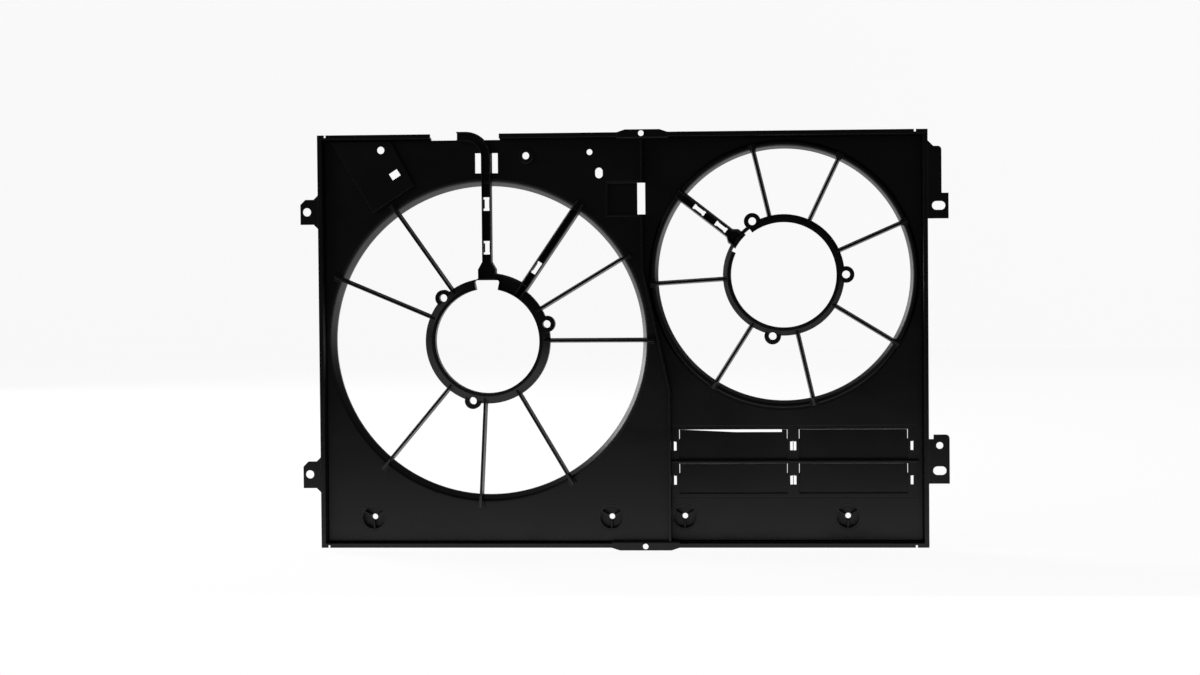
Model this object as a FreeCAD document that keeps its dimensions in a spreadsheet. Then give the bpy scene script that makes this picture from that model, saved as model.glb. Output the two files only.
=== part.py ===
import FreeCAD, Part
import math
import os

import Sketcher

# Twin-fan radiator shroud: one thin-walled moulding, divided along its natural regions,
# and four ram-air flaps that hinge in it. Millimetres.
#
# Frame: the origin is the centre of the large fan's motor ring, at the level of the large
# panel's radiator-side face. +Z is up as installed, +X runs towards the small fan, -Y faces
# the radiator and +Y faces the engine.

NAMED_SIZES = [
    # the small fan's axis, measured from the large fan's
    ("small_x", 352.2),
    ("small_z", 76.1),
    # duct mouths: a rolled lip, a cone down to the throat and a short straight land
    ("large_throat", 184.4),
    ("large_flare", 4.4),
    ("large_cone", 69.0),
    ("large_roll", 3.8),
    ("small_throat", 149.4),
    ("small_flare", 2.8),
    ("small_cone", 77.0),
    ("small_roll", 3.1),
    ("duct_depth", 20.0),
    ("collar_crown", 1.8),
    ("collar_foot", 4.6),
    # moulding wall and levels along Y
    ("wall", 2.5),
    ("panel_step", 6.0),
    # strips of panel between the ducts or the flap frame and the rim
    ("left_strip", 1.8),
    ("right_strip", 2.5),
    ("top_strip", 3.1),
    ("bottom_strip", 51.0),
    # perimeter rim: a drafted wall with an outward sealing flange
    ("rim_band", 7.2),
    ("rim_height", 12.0),
    ("rim_draft", 2.0),
    ("rim_wall", 2.2),
    ("flange_thickness", 2.5),
    ("notch_left", -65.8),
    ("notch_right", 16.4),
    ("slit_width", 2.4),
    ("slit_inset", 8.0),
    # widened stretches of the rim at the divider
    ("centre_tab_rise", 3.2),
    ("centre_tab_slope", 9.6),
    ("centre_tab_before", 28.7),
    ("centre_tab_after", 31.4),
    ("foot_tab_before", 38.5),
    ("foot_tab_after", 42.2),
    ("centre_hole", 3.4),
    ("centre_hole_inset", 1.4),
    # divider rib between the two panels
    ("divider_upper", 185.1),
    ("divider_shift", 30.9),
    ("divider_bend_high", 85.2),
    ("divider_bend_low", -57.9),
    ("divider_height", 9.0),
    # motor rings
    ("ring_bore", 62.2),
    ("large_ring_outer", 74.6),
    ("small_ring_outer", 71.8),
    ("ring_front", 9.5),
    ("ring_back", 6.0),
    ("ring_crest", 4.0),
    ("ring_bevel", 6.0),
    ("ring_web", 2.2),
    ("lug_circle", 73.5),
    ("lug_outer", 9.2),
    ("lug_hole", 4.6),
    ("lug_front", 6.0),
    ("large_ring_notch", 30.0),
    ("large_notch_web", 3.6),
    ("small_notch_start", 124.0),
    ("small_notch_finish", 161.0),
    ("small_notch_web", 3.2),
    ("trough_outer", 81.0),
    ("trough_start", 60.8),
    ("trough_finish", 80.8),
    ("trough_depth", 10.0),
    ("trough_front", 7.0),
    ("trough_wall", 1.8),
    # spokes: drafted ribs, thin towards the radiator, with a flared foot
    ("spoke_ridge", 2.6),
    ("spoke_root", 5.6),
    ("spoke_front", 8.5),
    ("spoke_back", 4.0),
    ("spoke_end_front", 6.0),
    ("large_foot_reach", 6.6),
    ("small_foot_reach", 3.3),
    ("foot_width", 8.8),
    ("foot_length", 8.5),
    ("throat_gap", 0.6),
    # cable channels
    ("channel_face", 9.0),
    ("channel_base", 12.6),
    ("channel_back", 3.0),
    ("channel_front", 8.5),
    ("channel_wall", 1.5),
    ("channel_floor", 1.8),
    ("clip_window", 16.0),
    ("clip_width", 4.4),
    ("clip_ear", 2.6),
    ("clip_ear_width", 7.4),
    ("fishtail_width", 23.6),
    ("fishtail_length", 22.0),
    ("fishtail_shoulder", 3.0),
    ("fishtail_waist", 9.0),
    ("upper_clip_near", 36.4),
    ("upper_clip_far", 88.4),
    ("side_clip", 30.0),
    ("small_clip_near", 21.7),
    ("small_clip_far", 54.2),
    # elbow that leads the cables out through the rim
    ("elbow_width", 11.0),
    ("elbow_radius", 24.0),
    ("elbow_end", -34.8),
    ("elbow_rise", 2.6),
    ("side_window_width", 7.0),
    ("side_window_height", 23.8),
    ("side_window_foot", 0.6),
    ("side_window_gap", 1.1),
    # control module plateau: a tray turned against the panel
    ("plateau_x", -135.6),
    ("plateau_z", 153.9),
    ("plateau_turn", 33.0),
    ("plateau_left_lean", 31.0),
    ("plateau_right_lean", 28.3),
    ("plateau_width", 59.0),
    ("plateau_margin", 0.5),
    ("plateau_height", 5.0),
    ("plateau_wall", 2.0),
    ("plateau_hole_along", 48.4),
    ("plateau_hole_up", 56.9),
    ("plateau_hole", 4.4),
    ("plateau_slot_along", 46.4),
    ("plateau_slot_up", 23.4),
    ("plateau_slot_length", 11.4),
    ("plateau_slot_width", 8.8),
    # raised boss and small holes of the large panel
    ("boss_x", 47.3),
    ("boss_z", 219.8),
    ("boss_outer", 8.6),
    ("boss_hole", 4.3),
    ("boss_height", 4.0),
    ("vent_x", 123.1),
    ("vent_z", 223.4),
    ("vent_hole", 3.5),
    ("oval_x", 134.1),
    ("oval_z", 198.6),
    ("oval_width", 9.0),
    ("oval_length", 12.6),
    # latch pocket at the divider
    ("pocket_width", 42.8),
    ("pocket_low", 147.0),
    ("pocket_high", 188.5),
    ("pocket_wall", 2.0),
    ("pocket_depth", 4.5),
    ("pocket_slot_before", 5.9),
    ("pocket_slot_after", 3.4),
    # screw bosses: round cups with three ribs
    ("large_cup_inner", -139.4),
    ("large_cup_middle", 146.0),
    ("small_cup_gap", 0.15),
    ("small_cup_outer", 426.5),
    ("cup_rise", 28.4),
    ("cup_radius", 13.5),
    ("cup_wall", 2.0),
    ("cup_depth", 9.0),
    ("cup_hole", 3.3),
    ("cup_hub", 4.6),
    ("cup_rib", 1.8),
    ("cup_rib_drop", 1.2),
    # flap frame and flaps
    ("frame_gap", 19.1),
    ("frame_head", 4.3),
    ("frame_foot", 4.8),
    ("frame_near", 7.1),
    ("frame_far", 9.9),
    ("frame_margin", 4.9),
    ("row_gap", 5.4),
    ("window_height", 35.3),
    ("window_inset", 2.4),
    ("pivot_drop", 13.1),
    ("flap_between", 8.8),
    ("flap_thickness", 2.0),
    ("flap_gap", 0.3),
    ("flap_overlap", 2.5),
    ("lip_gap", 0.35),
    ("lip_side_gap", 0.6),
    ("pin_radius", 1.8),
    ("pin_clearance", 0.08),
    ("flap_side_gap", 0.8),
    ("hook_width", 2.6),
    ("hook_outer", 3.8),
    ("hook_slot_height", 11.0),
    ("hook_slot_width", 3.2),
    ("bow_depth", 3.0),
    ("bow_start", 6.0),
    ("bow_middle", 60.0),
    ("frame_rib", 2.0),
    # mounting tabs
    ("tab_thickness", 3.0),
    ("left_tab_reach", 20.9),
    ("left_tab_hole", 5.0),
    ("left_tab_inset", 7.8),
    ("left_tab_root", 5.0),
    ("left_tab_corner", 6.0),
    ("upper_left_hole_z", 155.0),
    ("upper_left_below", 15.0),
    ("upper_left_above", 14.8),
    ("lower_left_hole_z", -158.1),
    ("lower_left_below", 16.4),
    ("lower_left_above", 15.4),
    ("right_tab_reach", 24.1),
    ("tab_slot_length", 15.6),
    ("tab_slot_width", 10.2),
    ("right_tab_inset", 12.5),
    ("upper_right_slot_z", 156.4),
    ("upper_right_below", 15.3),
    ("upper_right_above", 14.8),
    ("ear_reach", 16.0),
    ("ear_height", 55.0),
    ("ear_corner", 4.5),
    ("ear_root", 6.5),
    ("lower_right_slot_z", -155.3),
    ("lower_right_below", 15.3),
    ("lower_right_hole_rise", 29.7),
    ("lower_right_above", 12.8),
    ("lower_right_neck", 5.3),
    ("right_tab_hole", 4.1),
]

doc = FreeCAD.newDocument("radiator_fan_shroud")
sheet = doc.addObject("Spreadsheet::Sheet", "Sizes")
for line, (alias, number) in enumerate(NAMED_SIZES, start=1):
    sheet.set("A%d" % line, alias)
    sheet.set("B%d" % line, str(number))
    sheet.setAlias("B%d" % line, alias)
doc.recompute()


class Size:
    """A length or angle that keeps both its value and its spreadsheet formula."""

    def __init__(self, value, text):
        self.value = float(value)
        self.text = text

    def __add__(self, other):
        other = as_size(other)
        return Size(self.value + other.value, "(%s + %s)" % (self.text, other.text))

    def __sub__(self, other):
        other = as_size(other)
        return Size(self.value - other.value, "(%s - %s)" % (self.text, other.text))

    def __mul__(self, other):
        other = as_size(other)
        return Size(self.value * other.value, "(%s * %s)" % (self.text, other.text))

    def __truediv__(self, other):
        other = as_size(other)
        return Size(self.value / other.value, "(%s / %s)" % (self.text, other.text))

    def __neg__(self):
        return Size(-self.value, "(-1 * %s)" % self.text)


def as_size(number):
    if isinstance(number, Size):
        return number
    return Size(number, "(%.10g)" % number)


def size(alias):
    return Size(sheet.get(alias), "Sizes." + alias)


def half(length):
    return length / 2


def cosine(degrees):
    degrees = as_size(degrees)
    return Size(math.cos(math.radians(degrees.value)), "cos(%s * 1 deg)" % degrees.text)


def sine(degrees):
    degrees = as_size(degrees)
    return Size(math.sin(math.radians(degrees.value)), "sin(%s * 1 deg)" % degrees.text)


def turned(along, across, degrees):
    """The point at (along, across) after a turn about the origin."""
    return (as_size(along) * cosine(degrees) - as_size(across) * sine(degrees),
            as_size(along) * sine(degrees) + as_size(across) * cosine(degrees))


def bind(thing, path, length):
    """Ties one property of a document object to its formula."""
    thing.setExpression(path, as_size(length).text)


# ---------------------------------------------------------------- sketches


def new_body(label, x=0, z=0, turn=0):
    """A body whose own frame stands at (x, 0, z), turned from +X towards +Z."""
    body = doc.addObject("PartDesign::Body", label)
    body.Label = label
    base = FreeCAD.Vector(as_size(x).value, 0, as_size(z).value)
    body.Placement = FreeCAD.Placement(base, FreeCAD.Rotation(FreeCAD.Vector(0, -1, 0), turn))
    bind(body, "Placement.Base.x", x)
    bind(body, "Placement.Base.z", z)
    return body


def new_sketch(body, role, level=0):
    """A sketch on an origin plane; on XZ_Plane, level is the sketch's place along Y."""
    sketch = body.newObject("Sketcher::SketchObject", body.Name + "_sketch")
    plane = [item for item in body.Origin.OriginFeatures if item.Role == role][0]
    sketch.AttachmentSupport = [(plane, "")]
    sketch.MapMode = "FlatFace"
    shift = -as_size(level) if role == "XZ_Plane" else as_size(level)
    sketch.AttachmentOffset = FreeCAD.Placement(
        FreeCAD.Vector(0, 0, shift.value), FreeCAD.Rotation())
    bind(sketch, "AttachmentOffset.Base.z", shift)
    return sketch


def datum(sketch, kind, length, *where):
    """Adds one dimension and ties it to its formula."""
    index = sketch.addConstraint(Sketcher.Constraint(kind, *where, as_size(length).value))
    bind(sketch, "Constraints[%d]" % index, length)


def fix_point(sketch, edge, end, point):
    datum(sketch, "DistanceX", point[0], -1, 1, edge, end)
    datum(sketch, "DistanceY", point[1], -1, 1, edge, end)


def vector(point):
    return FreeCAD.Vector(as_size(point[0]).value, as_size(point[1]).value, 0)


def draw_polygon(sketch, points, rounds=None):
    """Closed outline; rounds turns the edge after a point into an arc: (centre, radius, way)."""
    rounds = rounds or {}
    count = len(points)
    edges = []
    for index in range(count):
        here = vector(points[index])
        after = vector(points[(index + 1) % count])
        if index not in rounds:
            edge = sketch.addGeometry(Part.LineSegment(here, after), False)
            edges.append((edge, 1, 2))
            continue
        centre, radius, way = rounds[index]
        middle = vector(centre)
        circle = Part.Circle(middle, FreeCAD.Vector(0, 0, 1), as_size(radius).value)
        start = math.atan2(here.y - middle.y, here.x - middle.x)
        finish = math.atan2(after.y - middle.y, after.x - middle.x)
        if way < 0:
            start, finish = finish, start
        if finish < start:
            finish += 2 * math.pi
        edge = sketch.addGeometry(Part.ArcOfCircle(circle, start, finish), False)
        edges.append((edge, 1, 2) if way > 0 else (edge, 2, 1))
    joins = []
    for index in range(count):
        edge, _, finish = edges[index]
        after, start, _ = edges[(index + 1) % count]
        joins.append(Sketcher.Constraint("Coincident", edge, finish, after, start))
    sketch.addConstraint(joins)
    for index in range(count):
        edge, start, _ = edges[index]
        fix_point(sketch, edge, start, points[index])
        if index in rounds:
            datum(sketch, "Radius", rounds[index][1], edge)


def draw_box(sketch, left, right, low, high):
    draw_polygon(sketch, [(left, low), (right, low), (right, high), (left, high)])


def draw_sector(sketch, inner, outer, start, finish):
    """A piece of a ring about the sketch's origin, from one angle to another."""
    origin = (as_size(0), as_size(0))
    points = [turned(inner, 0, start), turned(outer, 0, start),
              turned(outer, 0, finish), turned(inner, 0, finish)]
    draw_polygon(sketch, points, {1: (origin, outer, 1), 3: (origin, inner, -1)})


def draw_circle(sketch, x, z, radius):
    centre = vector((x, z))
    edge = sketch.addGeometry(
        Part.Circle(centre, FreeCAD.Vector(0, 0, 1), as_size(radius).value), False)
    fix_point(sketch, edge, 3, (x, z))
    datum(sketch, "Radius", radius, edge)


def draw_slot(sketch, x, z, length, width, upright=False):
    """A round-ended slot, lying along X, or along Z if upright."""
    radius = half(as_size(width))
    reach = half(as_size(length)) - radius
    along = (0, 1) if upright else (1, 0)
    centres = []
    for side in (-1, 1):
        centres.append((as_size(x) + reach * (side * along[0]),
                        as_size(z) + reach * (side * along[1])))
    start = 180 if upright else 90
    arcs = []
    for number, centre in enumerate(centres):
        low = math.radians(start + 180 * number)
        circle = Part.Circle(vector(centre), FreeCAD.Vector(0, 0, 1), radius.value)
        arcs.append(sketch.addGeometry(Part.ArcOfCircle(circle, low, low + math.pi), False))
    lines = []
    for number in (0, 1):
        here = sketch.getPoint(arcs[number], 2)
        there = sketch.getPoint(arcs[1 - number], 1)
        lines.append(sketch.addGeometry(Part.LineSegment(here, there), False))
    for number in (0, 1):
        sketch.addConstraint([
            Sketcher.Constraint("Tangent", arcs[number], 2, lines[number], 1),
            Sketcher.Constraint("Tangent", lines[number], 2, arcs[1 - number], 1)])
    fix_point(sketch, arcs[0], 3, centres[0])
    fix_point(sketch, arcs[1], 3, centres[1])
    datum(sketch, "Radius", radius, arcs[0])


def pad(body, sketch, length, reversed_way=True, middle=False):
    """Adds material; on an XZ_Plane sketch the pad grows towards +Y."""
    feature = body.newObject("PartDesign::Pad", body.Name + "_pad")
    feature.Profile = sketch
    feature.Reversed = reversed_way
    feature.Midplane = middle
    feature.Length = as_size(length).value
    bind(feature, "Length", length)
    return feature


def pocket(body, sketch, length, reversed_way=False, middle=False):
    """Cuts; on an XZ_Plane sketch the pocket goes towards +Y."""
    feature = body.newObject("PartDesign::Pocket", body.Name + "_pocket")
    feature.Profile = sketch
    feature.Reversed = reversed_way
    feature.Midplane = middle
    feature.Length = as_size(length).value
    bind(feature, "Length", length)
    return feature


def revolve(body, sketch):
    """Turns an XY_Plane section about the body's Y axis."""
    feature = body.newObject("PartDesign::Revolution", body.Name + "_revolution")
    feature.Profile = sketch
    feature.ReferenceAxis = (sketch, ["V_Axis"])
    feature.Angle = 360
    return feature


def plate(body, front, thickness, draw):
    """Pads one XZ outline, drawn by the function given, from front towards +Y."""
    sketch = new_sketch(body, "XZ_Plane", front)
    draw(sketch)
    return pad(body, sketch, thickness)


def cut_plate(body, front, thickness, draw):
    sketch = new_sketch(body, "XZ_Plane", front)
    draw(sketch)
    return pocket(body, sketch, thickness)


def trim(body, *outlines):
    """Cuts side-view outlines away on both sides of a rib's own middle plane."""
    sketch = new_sketch(body, "XY_Plane")
    for outline in outlines:
        draw_polygon(sketch, outline)
    return pocket(body, sketch, size("fishtail_width") * 2, middle=True)


# ---------------------------------------------------------------- shared places


def tangent(degrees):
    return sine(degrees) / cosine(degrees)


def mouth(fan):
    """Inner profile of a duct, from its lip to the start of its straight land."""
    roll = size(fan + "_roll")
    cone = size(fan + "_cone")
    flare = size(fan + "_flare")
    throat = size(fan + "_throat")
    lip = throat + flare + roll * sine(cone)
    level = roll - roll * cosine(cone)
    bend = half(cone)
    return [(lip, as_size(0)),
            (lip - roll * sine(bend), roll - roll * cosine(bend)),
            (throat + flare, level),
            (throat, level + flare * tangent(cone))]


WALL = size("wall")
STEP = size("panel_step")
BAND = size("rim_band")
DRAFT = size("rim_draft")
FRONT = -size("rim_height")
HALF_WALL = half(WALL)

SMALL_PLACE = (size("small_x"), size("small_z"))
LARGE_LIP = mouth("large")[0][0]
SMALL_LIP = mouth("small")[0][0]
SMALL_FOOT = SMALL_LIP + size("collar_foot")
LARGE_REACH = LARGE_LIP + size("large_foot_reach")
SMALL_REACH = SMALL_LIP + size("small_foot_reach")

INNER_LEFT = -(LARGE_LIP + size("left_strip"))
INNER_RIGHT = size("small_x") + SMALL_FOOT + size("right_strip")
INNER_TOP = size("small_z") + SMALL_FOOT + size("top_strip")
LEFT_EDGE = INNER_LEFT - BAND
RIGHT_EDGE = INNER_RIGHT + BAND
TOP_EDGE = INNER_TOP + BAND

DIVIDER_UPPER = size("divider_upper")
DIVIDER_LOWER = DIVIDER_UPPER + size("divider_shift")
BEND_RISE = size("divider_bend_high") - size("divider_bend_low")
BEND_ANGLE = math.atan(size("divider_shift").value / BEND_RISE.value)
MITRE = Size(HALF_WALL.value * math.tan(BEND_ANGLE / 2),
             "(%s * tan(atan(%s / %s) / 2))" % (
                 HALF_WALL.text, size("divider_shift").text, BEND_RISE.text))

FRAME_LEFT = DIVIDER_LOWER + HALF_WALL
FRAME_RIGHT = INNER_RIGHT - size("frame_margin")
FRAME_TOP = size("small_z") - SMALL_FOOT - size("frame_gap")
ROW_HIGH = FRAME_TOP - size("frame_head")
ROW_LOW = ROW_HIGH - size("window_height") - size("row_gap")
FRAME_BOTTOM = ROW_LOW - size("window_height") - size("frame_foot")
INNER_BOTTOM = FRAME_BOTTOM - size("bottom_strip")
BOTTOM_EDGE = INNER_BOTTOM - BAND
FLAP_LEFT = FRAME_LEFT + size("frame_near")
FLAP_LENGTH = half(FRAME_RIGHT - FLAP_LEFT - size("frame_far") - size("flap_between"))
FLAP_STARTS = (FLAP_LEFT, FLAP_LEFT + FLAP_LENGTH + size("flap_between"))
FLAP_FRONT = STEP + WALL + size("flap_gap")
PIN = size("pin_radius")
PIN_LEVEL = FLAP_FRONT + size("flap_thickness")

POCKET_LEFT = DIVIDER_UPPER - size("pocket_width")
POCKET_LOW = size("pocket_low")
POCKET_HIGH = size("pocket_high")
SLOT_LEFT = DIVIDER_UPPER - size("pocket_slot_before")
SLOT_RIGHT = DIVIDER_UPPER + size("pocket_slot_after")
SLOT_LOW = POCKET_LOW + size("pocket_wall")
SLOT_HIGH = POCKET_HIGH - size("pocket_wall")
CUP_LEVEL = INNER_BOTTOM + size("cup_rise")
CUP_OUTER = size("cup_radius") + size("cup_wall")
SMALL_CUP_MIDDLE = FRAME_LEFT + CUP_OUTER + size("small_cup_gap")


def divider_face(side):
    """The rib's face on one side: its x above and below, and the z of its two bends."""
    return (DIVIDER_UPPER + HALF_WALL * side,
            DIVIDER_LOWER + HALF_WALL * side,
            size("divider_bend_high") + MITRE * side,
            size("divider_bend_low") + MITRE * side)


def on_plateau(along, up):
    """A point of the plateau, measured from its lowest corner along its lower edge."""
    across, rise = turned(along, up, size("plateau_turn"))
    return size("plateau_x") + across, size("plateau_z") + rise


def plateau_outline():
    """Four-sided plan: a turned lower edge and two leaning sides up to the rim."""
    top = INNER_TOP - size("plateau_margin")
    left, low = on_plateau(0, 0)
    right, corner = on_plateau(size("plateau_width"), 0)
    return [(left, low), (right, corner),
            (right - (top - corner) * tangent(size("plateau_right_lean")), top),
            (left - (top - low) * tangent(size("plateau_left_lean")), top)]


# ---------------------------------------------------------------- panels


def large_panel():
    """Flat wall round the large fan."""
    high_x, low_x, bend_high, bend_low = divider_face(-1)

    def outline(sketch):
        draw_polygon(sketch, [
            (INNER_LEFT, INNER_BOTTOM), (low_x, INNER_BOTTOM), (low_x, bend_low),
            (high_x, bend_high), (high_x, POCKET_LOW), (POCKET_LEFT, POCKET_LOW),
            (POCKET_LEFT, POCKET_HIGH), (high_x, POCKET_HIGH), (high_x, INNER_TOP),
            (INNER_LEFT, INNER_TOP)])
        draw_circle(sketch, 0, 0, LARGE_LIP)
        draw_polygon(sketch, plateau_outline())
        draw_circle(sketch, size("vent_x"), size("vent_z"), size("vent_hole"))
        draw_slot(sketch, size("oval_x"), size("oval_z"), size("oval_length"),
                  size("oval_width"), upright=True)
        for cup in ("large_cup_inner", "large_cup_middle"):
            draw_circle(sketch, size(cup), CUP_LEVEL, CUP_OUTER)
        gap = half(size("elbow_width")) + size("side_window_gap")
        low = LARGE_REACH + size("side_window_foot")
        for side in (-1, 1):
            near = gap * side
            far = (gap + size("side_window_width")) * side
            draw_box(sketch, near, far, low, low + size("side_window_height"))

    body = new_body("large_panel")
    plate(body, 0, WALL, outline)
    height = size("boss_height")
    plate(body, -height, height,
          lambda sketch: draw_circle(sketch, size("boss_x"), size("boss_z"), size("boss_outer")))
    cut_plate(body, -height, height + WALL,
              lambda sketch: draw_circle(sketch, size("boss_x"), size("boss_z"),
                                         size("boss_hole")))
    return body


def small_panel():
    """Flat wall round the small fan, set back from the large panel."""
    high_x, low_x, bend_high, bend_low = divider_face(1)

    def outline(sketch):
        draw_polygon(sketch, [
            (low_x, INNER_BOTTOM), (INNER_RIGHT, INNER_BOTTOM), (INNER_RIGHT, INNER_TOP),
            (high_x, INNER_TOP), (high_x, SLOT_HIGH), (SLOT_RIGHT, SLOT_HIGH),
            (SLOT_RIGHT, SLOT_LOW), (high_x, SLOT_LOW), (high_x, bend_high),
            (low_x, bend_low), (low_x, FRAME_TOP), (FRAME_RIGHT, FRAME_TOP),
            (FRAME_RIGHT, FRAME_BOTTOM), (low_x, FRAME_BOTTOM)])
        draw_circle(sketch, *SMALL_PLACE, SMALL_FOOT)
        for across in (SMALL_CUP_MIDDLE, size("small_cup_outer")):
            draw_circle(sketch, across, CUP_LEVEL, CUP_OUTER)

    body = new_body("small_panel")
    plate(body, STEP, WALL, outline)
    return body


def plateau():
    """Raised tray that carries the fan control module, hollow on the engine side."""
    body = new_body("control_module_plateau")
    height = size("plateau_height")
    block = plate(body, -height, height + WALL,
                  lambda sketch: draw_polygon(sketch, plateau_outline()))
    doc.recompute()
    back = max(range(len(block.Shape.Faces)),
               key=lambda index: block.Shape.Faces[index].CenterOfMass.y)
    shell = body.newObject("PartDesign::Thickness", "plateau_shell")
    shell.Base = (block, ["Face%d" % (back + 1)])
    shell.Value = size("plateau_wall").value
    bind(shell, "Value", size("plateau_wall"))
    shell.Reversed = True
    shell.Join = 1
    hole = on_plateau(size("plateau_hole_along"), size("plateau_hole_up"))
    cut_plate(body, -height, height,
              lambda sketch: draw_circle(sketch, *hole, size("plateau_hole")))
    points = []
    for side, end in ((-1, -1), (1, -1), (1, 1), (-1, 1)):
        along = size("plateau_slot_along") + half(size("plateau_slot_length")) * side
        up = size("plateau_slot_up") + half(size("plateau_slot_width")) * end
        points.append(on_plateau(along, up))
    cut_plate(body, -height, height, lambda sketch: draw_polygon(sketch, points))
    return body


def latch_pocket():
    """Shallow tray at the divider with a through slot for a latch."""
    body = new_body("latch_pocket")
    right = divider_face(-1)[0]
    depth = size("pocket_depth")
    wall = size("pocket_wall")
    plate(body, 0, depth + wall,
          lambda sketch: draw_box(sketch, POCKET_LEFT, right, POCKET_LOW, POCKET_HIGH))
    cut_plate(body, 0, depth,
              lambda sketch: draw_box(sketch, POCKET_LEFT + wall, right, SLOT_LOW, SLOT_HIGH))
    cut_plate(body, 0, depth + wall,
              lambda sketch: draw_box(sketch, SLOT_LEFT, right, SLOT_LOW, SLOT_HIGH))
    return body


def divider(label, upper):
    """Rib between the panels; it also joins their two levels."""
    left_high, left_low, left_bend_high, left_bend_low = divider_face(-1)
    right_high, right_low, right_bend_high, right_bend_low = divider_face(1)
    body = new_body(label)
    front = -size("divider_height")

    def outline(sketch):
        if upper:
            draw_box(sketch, left_high, right_high, SLOT_HIGH, INNER_TOP)
            return
        draw_polygon(sketch, [
            (left_high, SLOT_LOW), (left_high, left_bend_high), (left_low, left_bend_low),
            (left_low, INNER_BOTTOM), (right_low, INNER_BOTTOM), (right_low, right_bend_low),
            (right_high, right_bend_high), (right_high, SLOT_LOW)])

    plate(body, front, STEP + WALL - front, outline)
    return body


# ---------------------------------------------------------------- ducts and motor rings


def duct(label, place, fan, collar):
    """Bell-mouthed duct about the fan's axis; a collar leads down to a lower panel."""
    body = new_body(label, *place)
    sketch = new_sketch(body, "XY_Plane")
    front = mouth(fan)
    lip, _ = front[0]
    throat, throat_level = front[3]
    depth = size("duct_depth")
    points = front + [
        (throat, depth), (throat + WALL, depth), (throat + WALL, throat_level)]
    if collar:
        foot = lip + size("collar_foot")
        crown = lip + size("collar_crown")
        points.append((crown - HALF_WALL, WALL))
        points.append((foot - WALL, STEP + WALL))
        points.append((foot, STEP + WALL))
        points.append((foot, STEP))
        points.append((crown, as_size(0)))
    else:
        points.append((lip, WALL))
    draw_polygon(sketch, points)
    revolve(body, sketch)
    return body


def motor_ring(label, place, outer, lug_angles):
    """Ring that a fan motor's flange seats on: bevelled in front, hollow behind."""
    body = new_body(label, *place)
    bore = size("ring_bore")
    web = size("ring_web")
    front = -size("ring_front")
    back = size("ring_back")
    crest = bore + size("ring_crest")
    shoulder = front + size("ring_bevel")
    sketch = new_sketch(body, "XY_Plane")
    draw_polygon(sketch, [
        (bore, back), (bore, front), (crest, front), (outer, shoulder), (outer, back),
        (outer - web, back), (outer - web, shoulder + half(web)), (crest, front + web),
        (bore + web, front + web), (bore + web, back)])
    revolve(body, sketch)
    lug_front = -size("lug_front")
    for angle in lug_angles:
        centre = turned(size("lug_circle"), 0, angle)
        plate(body, lug_front, back - lug_front,
              lambda sketch: draw_circle(sketch, *centre, size("lug_outer")))
    for angle in lug_angles:
        centre = turned(size("lug_circle"), 0, angle)
        cut_plate(body, front, back - front,
                  lambda sketch: draw_circle(sketch, *centre, size("lug_hole")))
    return body


def large_motor_ring():
    """The large fan's ring, notched under the cable channel and with a cable trough."""
    outer = size("large_ring_outer")
    body = motor_ring("large_motor_ring", (0, 0), outer, LARGE_LUGS)
    front = -size("trough_front")
    depth = size("trough_depth")
    start = size("trough_start")
    finish = size("trough_finish")
    plate(body, front, depth, lambda sketch: draw_sector(
        sketch, outer - half(size("ring_web")), size("trough_outer"), start, finish))
    cut_plate(body, front, depth - size("trough_wall"), lambda sketch: draw_sector(
        sketch, outer, size("trough_outer") - size("trough_wall"), start, finish))
    side = half(size("large_ring_notch"))
    top = outer - size("large_notch_web")
    cut_plate(body, -size("ring_front"), size("ring_front") + size("ring_back"),
              lambda sketch: draw_box(sketch, -side, side, half(size("ring_bore")), top))
    return body


def small_motor_ring():
    """The small fan's ring, thinned where its cable channel arrives."""
    outer = size("small_ring_outer")
    body = motor_ring("small_motor_ring", SMALL_PLACE, outer, SMALL_LUGS)
    cut_plate(body, -size("ring_front"), size("ring_front") + size("ring_back"),
              lambda sketch: draw_sector(
                  sketch, size("ring_bore") - size("ring_web"),
                  outer - size("small_notch_web"),
                  size("small_notch_start"), size("small_notch_finish")))
    return body


# ---------------------------------------------------------------- spokes and channels


def ring_end(outer, back):
    """Side view of what a rib loses to the ring: its bevel and its outer wall."""
    front = -size("ring_front")
    crest = size("ring_bore") + size("ring_crest")
    margin = size("ring_crest")
    return [(crest, front), (outer, front + size("ring_bevel")), (outer, back + margin),
            (crest - margin, back + margin), (crest - margin, front)]


def mouth_end(fan, reach, back):
    """Side view of what a rib loses to the duct's rolled mouth and the panel."""
    gap = size("throat_gap")
    lip, roll, cone, throat = mouth(fan)
    slope = (cone[0] - throat[0]) / (throat[1] - cone[1])
    deep = (cone[0] - (back - cone[1]) * slope - gap, back)
    margin = size("ring_crest")
    return [deep, (cone[0] - gap, cone[1]), (roll[0] - gap, roll[1]), (lip[0] - gap, lip[1]),
            (reach + margin, as_size(0)), (reach + margin, back + margin),
            (deep[0], back + margin)]


def drafted_bar(body, start, finish, front, back, face, base):
    """Bar along X, narrower towards the radiator."""
    sketch = new_sketch(body, "YZ_Plane", start)
    draw_polygon(sketch, [
        (front, -half(face)), (front, half(face)), (back, half(base)), (back, -half(base))])
    return pad(body, sketch, finish - start, reversed_way=False)


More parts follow.
